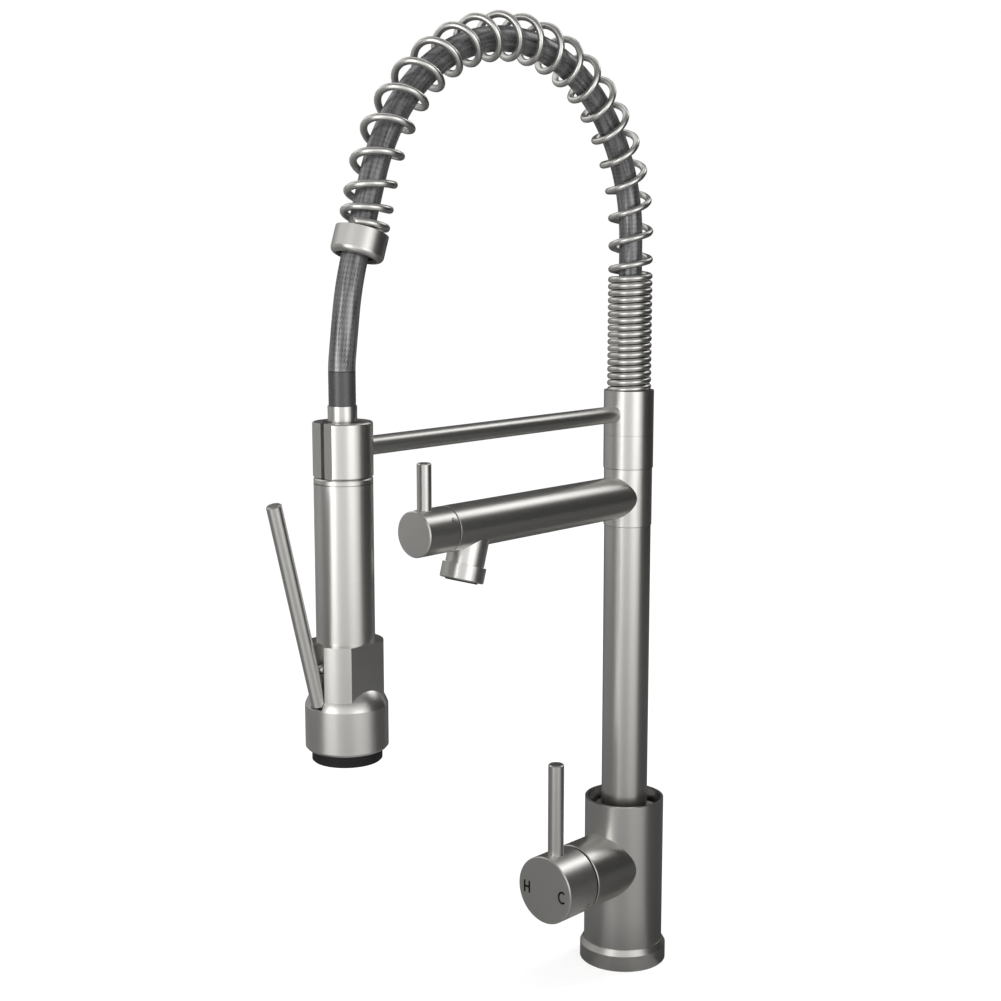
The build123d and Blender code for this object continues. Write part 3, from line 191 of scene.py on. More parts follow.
def two_tone(finish, shader, noise, colours, rough):
    """Colour and roughness that follow a noise, each from the first of a pair to the second."""
    share = spread(finish, noise, 0, 1, *NOISE_RANGE)
    plug(finish, between(finish, share, *colours), shader, "Base Color")
    plug(finish, spread(finish, noise, *rough, *NOISE_RANGE), shader, "Roughness")


def relief(finish, shader, height, strength, depth):
    """A shallow bump that follows a height."""
    bump = add_node(finish, "ShaderNodeBump", {"Strength": strength, "Distance": depth, "Height": height})
    plug(finish, bump.outputs[0], shader, "Normal")


print("helpers ready")

# %% [markdown]
# ## Brushed steel
# The steel of this tap is satin: after turning and polishing, a fine abrasive belt leaves
# hair-thin lines round each piece. The lines are far too fine to model, and they do three
# things: they widen the highlights, they vary the gloss a little from line to line, and close
# up they can be seen. So noise is squeezed along the axis that the piece was turned about,
# which draws it out into rings, and it drives the roughness and a very shallow bump. A second,
# broad noise stands for handling: a cloudy, barely visible change of colour and gloss.

# %% Brushed steel
GRAIN = 3200.0              # brush lines per metre, across the grain
GRAIN_RUN = 14.0            # the same along the grain, so that the lines are long
CLOUD = 26.0                # soft cloudiness, per metre
BRUSH_SHARE = 0.6           # of the change in colour and gloss; the cloudiness has the rest
BRUSH_STRENGTH = 0.02
BRUSH_DEPTH = 0.01 * MM
UPRIGHT = (0, 0, 1)
LEVEL = (0, 1, 0)
STEEL = (0.62, 0.61, 0.585)
STEEL_DEEP = (0.60, 0.59, 0.565)
# The colour below is a lighter copy of the steel. On the pieces that lie level it is painted light, standing
# in for the brighter bands that brushed steel shows there. The spring's wire has the same tone.
STEEL_LIGHTER = (0.72, 0.71, 0.68)    # the pieces that lie level, and the spring
STEEL_ROUGH = (0.28, 0.33)          # of the lighter and of the deeper tone
HUB_ROUGH = (0.33, 0.38)


def brushed_steel(name, axis, light=STEEL, deep=STEEL_DEEP, rough=STEEL_ROUGH):
    """Steel with brush lines that run round an axis, such as UPRIGHT."""
    finish, shader = new_finish(name, light, rough[0], metallic=1.0)
    place = coordinates(finish, "Object")
    lines = squeezed(finish, place, [GRAIN if part else GRAIN_RUN for part in axis])
    brush = mottled(finish, lines, 1.0, detail=2.0)
    cloud = mottled(finish, place, CLOUD, detail=4.0)
    clouds = sums(finish, "MULTIPLY", cloud, 1 - BRUSH_SHARE)
    both = sums(finish, "MULTIPLY_ADD", brush, BRUSH_SHARE, clouds)
    two_tone(finish, shader, both, (deep, light), (rough[1], rough[0]))
    relief(finish, shader, brush, BRUSH_STRENGTH, BRUSH_DEPTH)
    return finish


steel_upright = brushed_steel("brushed_steel_upright", UPRIGHT)
# Painted light: the knob, the holder's arm and the pot filler's arm have the lighter steel, and the pot
# filler's arm also has painted shade in its seam.
steel_level_painted_light = brushed_steel("brushed_steel_level_painted_light", LEVEL, STEEL_LIGHTER, STEEL)
steel_hub = brushed_steel("brushed_steel_hub", LEVEL, rough=HUB_ROUGH)
steel_arm_painted_light_and_shade = brushed_steel("brushed_steel_arm_painted_light_and_shade", LEVEL, STEEL_LIGHTER, STEEL)
steel_body_painted_shade = brushed_steel("brushed_steel_body_painted_shade", UPRIGHT)
print("steel finishes:", [finish.name for finish in (
    steel_upright, steel_level_painted_light, steel_hub, steel_arm_painted_light_and_shade, steel_body_painted_shade)])

# %% [markdown]
# ## Painted shade in seams and recesses
# Faces deep in a seam, inside the body's rim and under the hub lie in shade. In the same steel
# as the rest they came out too bright, so they have a darker one. The metal is no different
# there: the darker colour stands in for the shade. It is mixed in by a mask, which is 1 where
# it holds and 0 elsewhere, and which asks where a point is, seen from the column's axis.

# %% Painted shade in seams and recesses
# Painted shade: the three colours below stand in for shade inside the body's rim, deep in a seam and on the
# dome under the hub.
RIM_PAINTED_SHADE = (0.45, 0.445, 0.43)     # inside the body's rim
SEAM_PAINTED_SHADE = (0.08, 0.08, 0.078)    # deep in a seam
DOME_PAINTED_SHADE = (0.26, 0.255, 0.25)    # the dome under the hub, seen when the lever is lifted
DOME_ROUGH = (0.40, 0.52)
RIM_INSIDE_R = 23 * MM
RIM_INSIDE_Z = 84 * MM
BODY_SEAM_OUT = 48.6 * MM           # the body's face behind the hub is farther out than this
ARM_SEAM_OUT = 156.75 * MM          # the arm's face behind the knob is farther out than this


def in_recess(finish, radius, height):
    """1 within a radius of the column's axis and above a height, 0 elsewhere."""
    place = coordinates(finish, "Object")
    flat = add_node(finish, "ShaderNodeVectorMath", {0: place, 1: (1, 1, 0)}, operation="MULTIPLY").outputs[0]
    out = add_node(finish, "ShaderNodeVectorMath", {0: flat}, operation="LENGTH").outputs["Value"]
    near = sums(finish, "LESS_THAN", out, radius)
    high = sums(finish, "GREATER_THAN", parts(finish, place)[2], height)
    return sums(finish, "MULTIPLY", near, high)


def beyond(finish, out):
    """1 farther than this in front of the column's axis, 0 elsewhere."""
    return sums(finish, "LESS_THAN", parts(finish, coordinates(finish, "Object"))[1], -out)


def painted_shade(finish, mask, colour):
    """Mixes a darker colour in where the mask is 1: painted shade."""
    shader = finish.node_tree.nodes["Principled BSDF"]
    brushed = shader.inputs["Base Color"].links[0].from_socket
    mix = add_node(finish, "ShaderNodeMix", {0: mask, 6: brushed, 7: (*colour, 1)}, data_type="RGBA")
    plug(finish, mix.outputs[2], shader, "Base Color")


painted_shade(steel_arm_painted_light_and_shade, beyond(steel_arm_painted_light_and_shade, ARM_SEAM_OUT), SEAM_PAINTED_SHADE)
painted_shade(steel_body_painted_shade, in_recess(steel_body_painted_shade, RIM_INSIDE_R, RIM_INSIDE_Z), RIM_PAINTED_SHADE)
painted_shade(steel_body_painted_shade, beyond(steel_body_painted_shade, BODY_SEAM_OUT), SEAM_PAINTED_SHADE)
# The dome's steel is darker all over, which is painted shade, and it has a duller gloss.
steel_dome_painted_shade = brushed_steel("dome_steel_painted_shade", LEVEL, DOME_PAINTED_SHADE, DOME_PAINTED_SHADE, DOME_ROUGH)
print("dulled in places:", steel_arm_painted_light_and_shade.name, steel_body_painted_shade.name, "and all over:", steel_dome_painted_shade.name)

# %% [markdown]
# ## The finishes of the smaller pieces
# The brass, the ceramic discs and the plastic carriers are inside, and are seen only where the
# model is opened or looked into from below. They still get real surfaces: brass with a fine
# grain, fired ceramic that is glossy and even, moulded plastic with a soft grain, and
# rubber that is matt with a dusty bloom.

# %% Moulded, turned and fired finishes
GRAIN_DEPTH = 0.05 * MM     # of a moulded, turned or fired surface
RUBBER_SHINE = 0.25         # half of what the shader starts with


def moulded(name, light, deep, rough, scale, bump, metallic=0.0):
    """A surface with a fine grain in colour, gloss and height."""
    finish, shader = new_finish(name, light, rough[0], metallic)
    grain = mottled(finish, coordinates(finish, "Object"), scale, detail=5.0)
    two_tone(finish, shader, grain, (light, deep), rough)
    relief(finish, shader, grain, bump, GRAIN_DEPTH)
    return finish


brass = moulded("turned_brass", (0.72, 0.55, 0.28), (0.62, 0.46, 0.22), (0.25, 0.38), 900, 0.15, 1.0)
rubber = moulded("black_rubber", (0.010, 0.010, 0.010), (0.018, 0.018, 0.018), (0.55, 0.70), 700, 0.35)
rubber.node_tree.nodes["Principled BSDF"].inputs["Specular IOR Level"].default_value = RUBBER_SHINE
acetal = moulded("white_acetal", (0.74, 0.74, 0.71), (0.68, 0.68, 0.65), (0.35, 0.50), 500, 0.15)
dark_plastic = moulded("dark_grey_plastic", (0.030, 0.030, 0.032), (0.045, 0.045, 0.048), (0.42, 0.58),
                       600, 0.25)
ceramic = moulded("fired_ceramic", (0.84, 0.83, 0.79), (0.80, 0.79, 0.75), (0.08, 0.14), 300, 0.05)
print("small finishes:", [finish.name for finish in (brass, rubber, acetal, dark_plastic, ceramic)])

# %% [markdown]
# ## Dressing the loaded pieces
# The record says what each piece is made of, so most pieces take their finish from that one
# word. Some steel pieces have one of their own: those that lie level, because brush lines run
# round the axis that a piece was turned about, and most of these also have a lighter steel, which
# is painted light standing in for their brighter bands; and those with painted shade on a face.

# %% A finish for every loaded piece
FINISH_OF_SLOT = {"stainless": steel_upright, "brass": brass, "rubber": rubber, "plastic": acetal,
                  "dark_plastic": dark_plastic, "ceramic": ceramic, "braid": rubber}
FINISH_OF_PIECE = {"mixer_hub": steel_hub, "pot_filler_arm": steel_arm_painted_light_and_shade, "pot_filler_knob": steel_level_painted_light,
                   "holder_arm": steel_level_painted_light, "mixer_body": steel_body_painted_shade, "cartridge_dome": steel_dome_painted_shade}

slot_of = {piece["node"]: piece["material_slot"] for piece in frame["record"]["subparts"]}
for name, node in nodes.items():
    finish = FINISH_OF_PIECE.get(name, FINISH_OF_SLOT[slot_of[name]])
    node.data.materials.clear()
    node.data.materials.append(finish)
print("dressed", len(nodes), "pieces")

# %% [markdown]
# ## A line that rises, bends over and comes down
# Hose and spring follow nearly the same bow: straight up from the collar, over in a wide arc
# and down again at a lean. Such a line is a chain of stretches, each straight or part of a
# circle. Walking along it only needs the heading: a straight stretch keeps it, an arc turns it
# steadily. The line lies in one upright plane, so a point is a distance out and a height.

# %% Walking along a bow
def in_plane(out, height):
    return Vector((0, -out, height))


def walk(foot, stretches, distance):
    """Point, direction, outward normal and bend of a line made of (length, bend) stretches."""
    out, height, heading = 0.0, foot, 0.0
    for length, bend in stretches:
        step = min(distance, length)
        turned = heading + step * bend
        if bend:
            out += (cos(heading) - cos(turned)) / bend
            height += (sin(turned) - sin(heading)) / bend
        else:
            out += step * sin(heading)
            height += step * cos(heading)
        heading = turned
        distance -= length
        if distance <= 0:
            break
    along = in_plane(sin(heading), cos(heading))
    outward = in_plane(-cos(heading), sin(heading))
    return in_plane(out, height), along, outward, bend


print("a bow with no stretch starts at", tuple(walk(collar_top, [(0.01, 0)], 0)[0]))

# %% [markdown]
# ## The tube maker
# Hose and wire are both round tubes round a line. Rings of points are set square to the line
# and joined with faces. Each face also gets texture coordinates, once round the tube and metres
# along it, because braid and drawn wire have patterns that must follow the tube round its bends.

# %% A tube round a line
def ring_of(centre, spoke, side, radius, sides):
    angles = [tau * i / sides for i in range(sides)]
    return [centre + (spoke * cos(angle) + side * sin(angle)) * radius for angle in angles]


def tube_mesh(name, stations, radius, sides, bore=0.0):
    """A closed tube through (centre, spoke, side, distance) stations, with a bore if it has one."""
    build = bmesh.new()
    coords = build.loops.layers.uv.new("tube")
    walls = [(radius, False)] + ([(bore, True)] if bore else [])
    ends = []
    for wall_radius, inside in walls:
        rings = [[build.verts.new(point) for point in ring_of(centre, spoke, side, wall_radius, sides)]
                 for centre, spoke, side, distance in stations]
        for row in range(len(rings) - 1):
            for i in range(sides):
                corners = [(row, i), (row, i + 1), (row + 1, i + 1), (row + 1, i)]
                if inside:
                    corners.reverse()
                face = build.faces.new([rings[r][c % sides] for r, c in corners])
                face.smooth = True
                for loop, (r, c) in zip(face.loops, corners):
                    loop[coords].uv = (c / sides, stations[r][3])
        ends.append((rings[0], rings[-1]))
    for end in (0, 1):
        outer = ends[0][end]
        if bore:
            inner = ends[1][end]
            for i in range(sides):
                build.faces.new([outer[i], outer[(i + 1) % sides], inner[(i + 1) % sides], inner[i]])
        else:
            build.faces.new(outer)
    bmesh.ops.recalc_face_normals(build, faces=build.faces)
    mesh = bpy.data.meshes.new(name)
    build.to_mesh(mesh)
    build.free()
    return mesh


def add_piece(name, mesh, finish):
    piece = bpy.data.objects.new(name, mesh)
    mesh.materials.append(finish)
    bpy.context.scene.collection.objects.link(piece)
    return piece


print("tube maker ready")

# %% [markdown]
# ## The braided hose
# The hose is rubber inside a tight sleeve of dark strands. The sleeve is woven: one set of
# strands winds to the left, the other to the right, and each goes over one and under one. To
# model some thousand crossings would be slow, and from a step away only their glitter is seen,
# so the tube is plain and the weave is in its finish.

# %% The hose's line
HOSE_R = 6.8 * MM
HOSE_BORE_R = 4.6 * MM
HOSE_ARCH_R = 105.74 * MM
HOSE_LEAN = radians(18)
HOSE_RUN = 41.8 * MM
HOSE_BEND_R = 162.5 * MM
HOSE_LOW_LEAN = radians(7.6)
HOSE_LOW_RUN = 20.0 * MM
HOSE_FOOT_R = 60.0 * MM
HOSE_TAIL = 24.7 * MM       # upright, down into the ferrule
HOSE_LIFT = 0.1 * MM        # above its seat in the collar
HOSE_RISE = 91.61 * MM      # from there to where the arch begins
SEAT_DEPTH = 3.5 * MM       # hose and spring stand in a recess of the collar

seat = collar_top - SEAT_DEPTH
hose_stretches = [
    (HOSE_RISE, 0), (HOSE_ARCH_R * (pi - HOSE_LEAN), 1 / HOSE_ARCH_R), (HOSE_RUN, 0),
    (HOSE_BEND_R * (HOSE_LEAN - HOSE_LOW_LEAN), 1 / HOSE_BEND_R), (HOSE_LOW_RUN, 0),
    (HOSE_FOOT_R * HOSE_LOW_LEAN, 1 / HOSE_FOOT_R), (HOSE_TAIL, 0)]
hose_length = sum(length for length, bend in hose_stretches)
hose_end = walk(seat + HOSE_LIFT, hose_stretches, hose_length)[0]
print(f"hose {hose_length:.4f} m long, ends {-hose_end.y:.4f} out at height {hose_end.z:.4f}")

# %% [markdown]
# ## The look of the braid
# The weave is worked out from the tube's own coordinates. Two sets of slanting waves cross each
# other. Where a wave is high, a strand of that set runs, and which set lies over the other
# changes like the squares of a chessboard. A fine noise and broad streaks break up the evenness;
# in the colour the streaks are also painted sheen, light bands along the hose that stand in for
# mirrored light. The height drives the bump, the gaps are darker, and the strands have the dull
# gleam of coated wire. The last stretch, down into the ferrule, is a smooth stiff sleeve.

# %% The braid's finish
STRANDS = 30                    # each way round the hose
BRAID_PITCH = 80 * MM           # length in which one strand goes once round
OVER_TO_UNDER = 0.15            # how gently the upper strand gives way to the lower
FINE_NOISE = (60, 900, 1)       # cells round the hose, and per metre along it
# Streaks: unevenness of the braid in its bump and gloss, and painted sheen in its colour.
STREAK_NOISE = (30, 40, 1)
STREAK_RANGE = (0.33, 0.67)     # of the noise, which is spread over the next pair
STREAK_HEIGHT = (-0.35, 0.55)
FINE_SHARE = 0.5                # of the height
STRAND_SHARE = 0.35             # of the height
SLEEVE_SHARE = 0.35             # of the fine noise, in the smooth sleeve's shade
SLEEVE_FROM = hose_length - HOSE_TAIL
SLEEVE_EDGE = 0.7 * MM          # a dark line round the sleeve's upper end
BRAID_DARK = (0.065, 0.065, 0.067)
BRAID_LIGHT = (0.30, 0.30, 0.305)
BRAID_PLAIN = (0.13, 0.13, 0.135)   # where a viewer reads no nodes
BRAID_ROUGH = (0.38, 0.22)      # in the gaps and on the strands
BRAID_STRENGTH = 0.35
BRAID_DEPTH = 0.08 * MM


def crossing_strands(finish, tube):
    """Height of two sets of strands that cross, each over one and under one."""
    turn = sums(finish, "MULTIPLY", tube[0], float(STRANDS))
    run = sums(finish, "MULTIPLY", tube[1], STRANDS / BRAID_PITCH)
    crests, signs = [], []
    for way in ("ADD", "SUBTRACT"):
        slant = sums(finish, way, turn, run)
        wave = sums(finish, "SINE", sums(finish, "MULTIPLY", slant, tau))
        crests.append(sums(finish, "MULTIPLY_ADD", wave, 0.5, 0.5))
        signs.append(sums(finish, "SINE", sums(finish, "MULTIPLY", slant, pi)))
    upper = spread(finish, sums(finish, "MULTIPLY", *signs), 0, 1, -OVER_TO_UNDER, OVER_TO_UNDER)
    mix = add_node(finish, "ShaderNodeMix", {0: upper, 2: crests[0], 3: crests[1]}, data_type="FLOAT")
    return mix.outputs[0]


def braided_sleeve():
    finish, shader = new_finish("braided_sleeve", BRAID_PLAIN, roughness=0.4, metallic=0.45)
    place = coordinates(finish, "UV")
    tube = parts(finish, place)
    sleeve = sums(finish, "GREATER_THAN", tube[1], SLEEVE_FROM)
    edge = sums(finish, "GREATER_THAN", tube[1], SLEEVE_FROM - SLEEVE_EDGE)
    woven = sums(finish, "SUBTRACT", 1.0, edge)
    fine = mottled(finish, squeezed(finish, place, FINE_NOISE), 1.0)
    streak = mottled(finish, squeezed(finish, place, STREAK_NOISE), 1.0)
    # The streaks also lighten the colour in bands along the hose: painted sheen.
    streaks_and_painted_sheen = spread(finish, streak, *STREAK_HEIGHT, *STREAK_RANGE)
    strands = sums(finish, "MULTIPLY", crossing_strands(finish, tube), STRAND_SHARE)
    weave = sums(finish, "MULTIPLY_ADD", fine, FINE_SHARE, strands)
    height = sums(finish, "MULTIPLY", sums(finish, "ADD", weave, streaks_and_painted_sheen), woven)
    cloth = sums(finish, "MULTIPLY", fine, SLEEVE_SHARE)
    shade = sums(finish, "MULTIPLY_ADD", sleeve, cloth, height)
    plug(finish, between(finish, shade, BRAID_DARK, BRAID_LIGHT), shader, "Base Color")
    plug(finish, spread(finish, height, *BRAID_ROUGH), shader, "Roughness")
    relief(finish, shader, height, BRAID_STRENGTH, BRAID_DEPTH)
    return finish


braid = braided_sleeve()
print("braid of", 2 * STRANDS, "strands")

# %% [markdown]
# ## Making the hose
# The stations are evenly spaced along the hose, close enough for its tightest bend. The hose
# crosses the one joint that pulls it.

# %% The hose
HOSE_STEPS = 220
HOSE_SIDES = 40


def bow_stations(foot, stretches, length, steps):
    stations = []
    for step in range(steps + 1):
        distance = length * step / steps
        point, along, outward, bend = walk(foot, stretches, distance)
        stations.append((point, outward, along.cross(outward), distance))
    return stations


hose_stations = bow_stations(seat + HOSE_LIFT, hose_stretches, hose_length, HOSE_STEPS)
hose_mesh = tube_mesh("braided_hose", hose_stations, HOSE_R, HOSE_SIDES, HOSE_BORE_R)
hose = add_piece("braided_hose", hose_mesh, braid)
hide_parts("hose")
print("hose faces:", len(hose.data.polygons))

# %% [markdown]
# ## The spring
# The spring is the piece that everybody looks at. It is one wire of nearly 4 mm, wound closely
# where it stands on the column and drawn open along the arch. A curve with a screw modifier
# makes an even coil, but not one that follows a bow and changes its pitch. So the wire is
# walked: a turn count goes up steadily, the pitch says how far along the bow that turn has come,
# and the angle says where on the circle the wire is. The pitch eases from one stage to the next
# over one to three turns, as it does on wound wire.

# %% The winding
WIRE_R = 1.89 * MM          # a hair less than the loaded spring's 1.9 mm
COIL_R = 11.25 * MM         # to the middle of the wire
COIL_ARCH_R = 105.5 * MM
COIL_ARCH_LIFT = 1.54 * MM  # its arch begins this far above the hose's
COIL_TURN_OUT = radians(12.5)
COIL_TURN_OUT_R = 177 * MM
COIL_LEAN = radians(19)
COIL_LIFT = 2.2 * MM        # the middle of the wire above its seat
CLOSED_PITCH = 4.04 * MM    # at the foot
LAST_PITCH = 6.0 * MM       # at the end collar
CLOSED_TURNS = 16.62
OPENING_TURNS = 1.69        # from the closed pitch to the open one
OPEN_TURNS = 17.7
CLOSING_TURNS = 2.9         # from the open pitch to the last one

coil_rise = HOSE_LIFT + HOSE_RISE + COIL_ARCH_LIFT
coil_stretches = [
    (coil_rise, 0), (COIL_ARCH_R * (pi - COIL_TURN_OUT), 1 / COIL_ARCH_R),
    (COIL_TURN_OUT_R * (COIL_LEAN - COIL_TURN_OUT), -1 / COIL_TURN_OUT_R)]
coil_length = sum(length for length, bend in coil_stretches)

used = CLOSED_PITCH * (CLOSED_TURNS + OPENING_TURNS / 2) + LAST_PITCH * CLOSING_TURNS / 2
turns_left = OPENING_TURNS / 2 + OPEN_TURNS + CLOSING_TURNS / 2
open_pitch = (coil_length - 2 * COIL_LIFT - used) / turns_left
stages = [
    (CLOSED_TURNS, CLOSED_PITCH, CLOSED_PITCH), (OPENING_TURNS, CLOSED_PITCH, open_pitch),
    (OPEN_TURNS, open_pitch, open_pitch), (CLOSING_TURNS, open_pitch, LAST_PITCH)]
coil_turns = sum(turns for turns, first, last in stages)
print(f"spring of {coil_turns} turns, open pitch {open_pitch / MM:.2f} mm, on {coil_length:.4f} m of bow")

# %% [markdown]
# ## Walking the wire
# At each station the wire's direction is needed too, because the rings of the tube stand square
# to it. It has two parts: the swing round the circle and the climb along the bow. On the outer
# side of the arch the climb is a little longer than on the inner side.

# %% The wire's stations
WIRE_STEPS = 36         # stations in each turn
WIRE_SIDES = 12
WIRE_TAIL = WIRE_R      # straight, at each end


def climbed(turn):
    """Distance along the bow, and the pitch there, after so many turns."""
    distance = COIL_LIFT
    for turns, first, last in stages:
        part = min(turn, turns)
        pitch = first + (last - first) * part / turns
        distance += part * (first + pitch) / 2
        turn -= part
        if turn <= 0:
            break
    return distance, pitch


def wire_station(turn):
    """Middle of the wire, its spoke from the bow, and its direction."""
    distance, pitch = climbed(turn)
    middle_of_coil, along, outward, bend = walk(seat, coil_stretches, distance)
    sideways = along.cross(outward)
    angle = tau * turn
    spoke = outward * cos(angle) + sideways * sin(angle)
    swing = sideways * cos(angle) - outward * sin(angle)
    direction = along * (pitch * (1 + COIL_R * bend * cos(angle))) + swing * (tau * COIL_R)
    return middle_of_coil + spoke * COIL_R, spoke, direction.normalized()


def wire_stations():
    count = round(coil_turns * WIRE_STEPS)
    found, distance = [], 0.0
    for step in range(count + 1):
        point, spoke, direction = wire_station(coil_turns * step / count)
        if found:
            distance += (point - found[-1][0]).length
        found.append((point, direction.cross(spoke), spoke, distance))
    first, last = found[0], found[-1]
    start_way, end_way = wire_station(0)[2], wire_station(coil_turns)[2]
    start = (first[0] - start_way * WIRE_TAIL, first[1], first[2], -WIRE_TAIL)
    end = (last[0] + end_way * WIRE_TAIL, last[1], last[2], distance + WIRE_TAIL)
    return [start] + found + [end]


wire_path = wire_stations()
print("wire", round(wire_path[-1][3], 3), "m long through", len(wire_path), "stations")

# %% [markdown]
# ## Drawn wire
# Wire is pulled through a die, so its fine lines run along it, not round it. The tube's
# coordinates make that easy: noise that is squeezed round the wire and long along it.

# %% The wire's finish
WIRE_LINES = (26, 90, 1)    # cells round the wire, and per metre along it
WIRE_ROUGH = (0.25, 0.34)
WIRE_STRENGTH = 0.05
WIRE_DEPTH = 0.02 * MM


def drawn_wire():
    finish, shader = new_finish("drawn_steel_wire", STEEL_LIGHTER, WIRE_ROUGH[0], metallic=1.0)
    drawn = mottled(finish, squeezed(finish, coordinates(finish, "UV"), WIRE_LINES), 1.0)
    two_tone(finish, shader, drawn, (STEEL, STEEL_LIGHTER), WIRE_ROUGH)
    relief(finish, shader, drawn, WIRE_STRENGTH, WIRE_DEPTH)
    return finish


spring_mesh = tube_mesh("arch_spring", wire_path, WIRE_R, WIRE_SIDES)
spring = add_piece("arch_spring", spring_mesh, drawn_wire())
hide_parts("spring")
print("spring faces:", len(spring.data.polygons))

# %% [markdown]
# ## Letting hose and spring give
# When the spray is pulled down, the arch dips. Here the places of hose and spring are only
# written into their meshes.

# %% Hose and spring placed in their meshes
for piece in (hose, spring):
    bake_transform(piece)

# %% [markdown]
# ## Hot and cold
# The hub's face carries two marks, H to the left and C to the right, as on any single-lever
# mixer. They are drawn here with straight and round strokes of one width. On metal such marks
# are etched or printed and hardly thicker than paint, so each is a flat ribbon lying on the face.

# %% The hot and cold marks
MARK_HEIGHT = 7.4 * MM
MARK_WIDTH = 4.8 * MM
MARK_STROKE = 1.15 * MM
ROUND_REACH = (2.6 * MM, 3.3 * MM)      # half width and half height of the round stroke
ROUND_TURNS = range(48, 313, 12)        # degrees, open to the right
MARK_OUT = 13.7 * MM    # each side of the hub's axis
MARK_DROP = 0.8 * MM    # below the hub's axis
MARK_SKIN = 0.06 * MM   # how far it stands out from the face
MARK_THICKNESS = 0.9 * MARK_SKIN


def ribbon(points, width):
    """Left and right edges of a stroke of one width along flat points."""
    edges = []
    for i, point in enumerate(points):
        before, after = points[max(i - 1, 0)], points[min(i + 1, len(points) - 1)]
        way = (after - before).normalized()
        side = Vector((-way.y, way.x)) * width / 2
        edges.append((point - side, point + side))
    return edges


def mark_mesh(name, strokes, middle_x, middle_z):
    build = bmesh.new()
    for points in strokes:
        pairs = ribbon([Vector(point) for point in points], MARK_STROKE)
        rows = [[build.verts.new((middle_x + edge.x, -hub_face - MARK_SKIN, middle_z + edge.y))
                 for edge in pair] for pair in pairs]
        for (a, b), (c, d) in zip(rows, rows[1:]):
            build.faces.new([a, b, d, c])
    bmesh.ops.solidify(build, geom=build.faces[:], thickness=MARK_THICKNESS)
    bmesh.ops.recalc_face_normals(build, faces=build.faces)
    mesh = bpy.data.meshes.new(name)
    build.to_mesh(mesh)
    build.free()
    return mesh


across, up = (MARK_WIDTH - MARK_STROKE) / 2, MARK_HEIGHT / 2
h_strokes = [[(-across, -up), (-across, up)], [(across, -up), (across, up)], [(-across, 0), (across, 0)]]
c_stroke = [(ROUND_REACH[0] * cos(radians(turn)), ROUND_REACH[1] * sin(radians(turn)))
            for turn in ROUND_TURNS]
mark_paint = moulded("mark_paint", (0.020, 0.020, 0.021), (0.030, 0.030, 0.031), (0.45, 0.6), 2000, 0.1)
for name, strokes, side in (("hot_mark", h_strokes, -1), ("cold_mark", [c_stroke], 1)):
    mark = add_piece(name, mark_mesh(name, strokes, side * MARK_OUT, hub_height - MARK_DROP), mark_paint)
    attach(mark, "mixer_handle")
print("marks stand", round(MARK_HEIGHT / MM, 1), "mm tall")

# %% [markdown]
# ## Floor and world
# The photograph is cut out on white. The floor is plain and pale and keeps the soft shadow of
# the tap. The world behind it is white to the camera and to mirror rays alike, because metal
# shows what is round it. Rays that only light the scene see a softer grey instead. The floor
# gives off a little light of its own to the same rays, so that it is white up to the horizon.

# %% Floor and world
WORLD_LIGHT = 0.50      # what the world adds to the light on the tap
WORLD_WHITE = 1.0       # what the camera and mirror rays see of it
FLOOR_SIZE = 60.0
FLOOR_SQUARES = 8       # along each side
FLOOR_WHITE = (0.86, 0.86, 0.86)
FLOOR_GLOW = 0.57
MATT = 0.9              # roughness of the floor, and of the cards below


def seen_by_eye_or_mirror(tree):
    """1 for camera, mirror and glass rays, and 0 for the rest."""
    path = tree.nodes.new("ShaderNodeLightPath")
    seen = path.outputs["Is Camera Ray"]
    for ray in ("Is Glossy Ray", "Is Transmission Ray"):
        either = tree.nodes.new("ShaderNodeMath")
        either.operation = "MAXIMUM"
        tree.links.new(seen, either.inputs[0])
        tree.links.new(path.outputs[ray], either.inputs[1])
        seen = either.outputs[0]
    return seen


def white_world():
    world = bpy.data.worlds.new("white_room")
    world.use_nodes = True
    tree = world.node_tree
    level = tree.nodes.new("ShaderNodeMapRange")
    tree.links.new(seen_by_eye_or_mirror(tree), level.inputs["Value"])
    level.inputs["To Min"].default_value = WORLD_LIGHT
    level.inputs["To Max"].default_value = WORLD_WHITE
    background = tree.nodes["Background"]
    background.inputs["Color"].default_value = (1, 1, 1, 1)
    tree.links.new(level.outputs[0], background.inputs["Strength"])
    return world


def pale_floor():
    mesh = bpy.data.meshes.new("floor")
    build = bmesh.new()
    bmesh.ops.create_grid(build, x_segments=FLOOR_SQUARES, y_segments=FLOOR_SQUARES, size=FLOOR_SIZE / 2)
    build.to_mesh(mesh)
    build.free()
    finish, shader = new_finish("white_floor", FLOOR_WHITE, MATT)
    shader.inputs["Emission Color"].default_value = (1, 1, 1, 1)
    glow = sums(finish, "MULTIPLY", seen_by_eye_or_mirror(finish.node_tree), FLOOR_GLOW)
    plug(finish, glow, shader, "Emission Strength")
    floor = add_piece("floor", mesh, finish)


bpy.context.scene.world = white_world()
pale_floor()
bpy.context.scene.view_settings.view_transform = "Standard"
print("floor of", FLOOR_SIZE, "m")

# %% [markdown]
# ## Lamps
# Round steel shows long bright bands, and each band is a lamp. Two soft boxes stand in front,
# one each side of the camera. A third hangs above, to the right and behind the tap, and draws
# the bright line on top of both arms. Soft means large: the size of a lamp sets how wide its
# band is and how gently a shadow ends.

# %% Soft boxes
LAMP_AIM = Vector((0, -0.11, 0.30))
SOFT_BOXES = [      # name, degrees to the right, distance, height, the box's width and height, watts
    ("left_box", -39, 1.5, 0.48, 0.55, 0.85, 3.6),
    ("right_box", 30, 1.6, 0.48, 0.85, 0.85, 2.7),
    ("rear_box", 125, 1.4, 1.42, 0.70, 0.42, 6.3)]


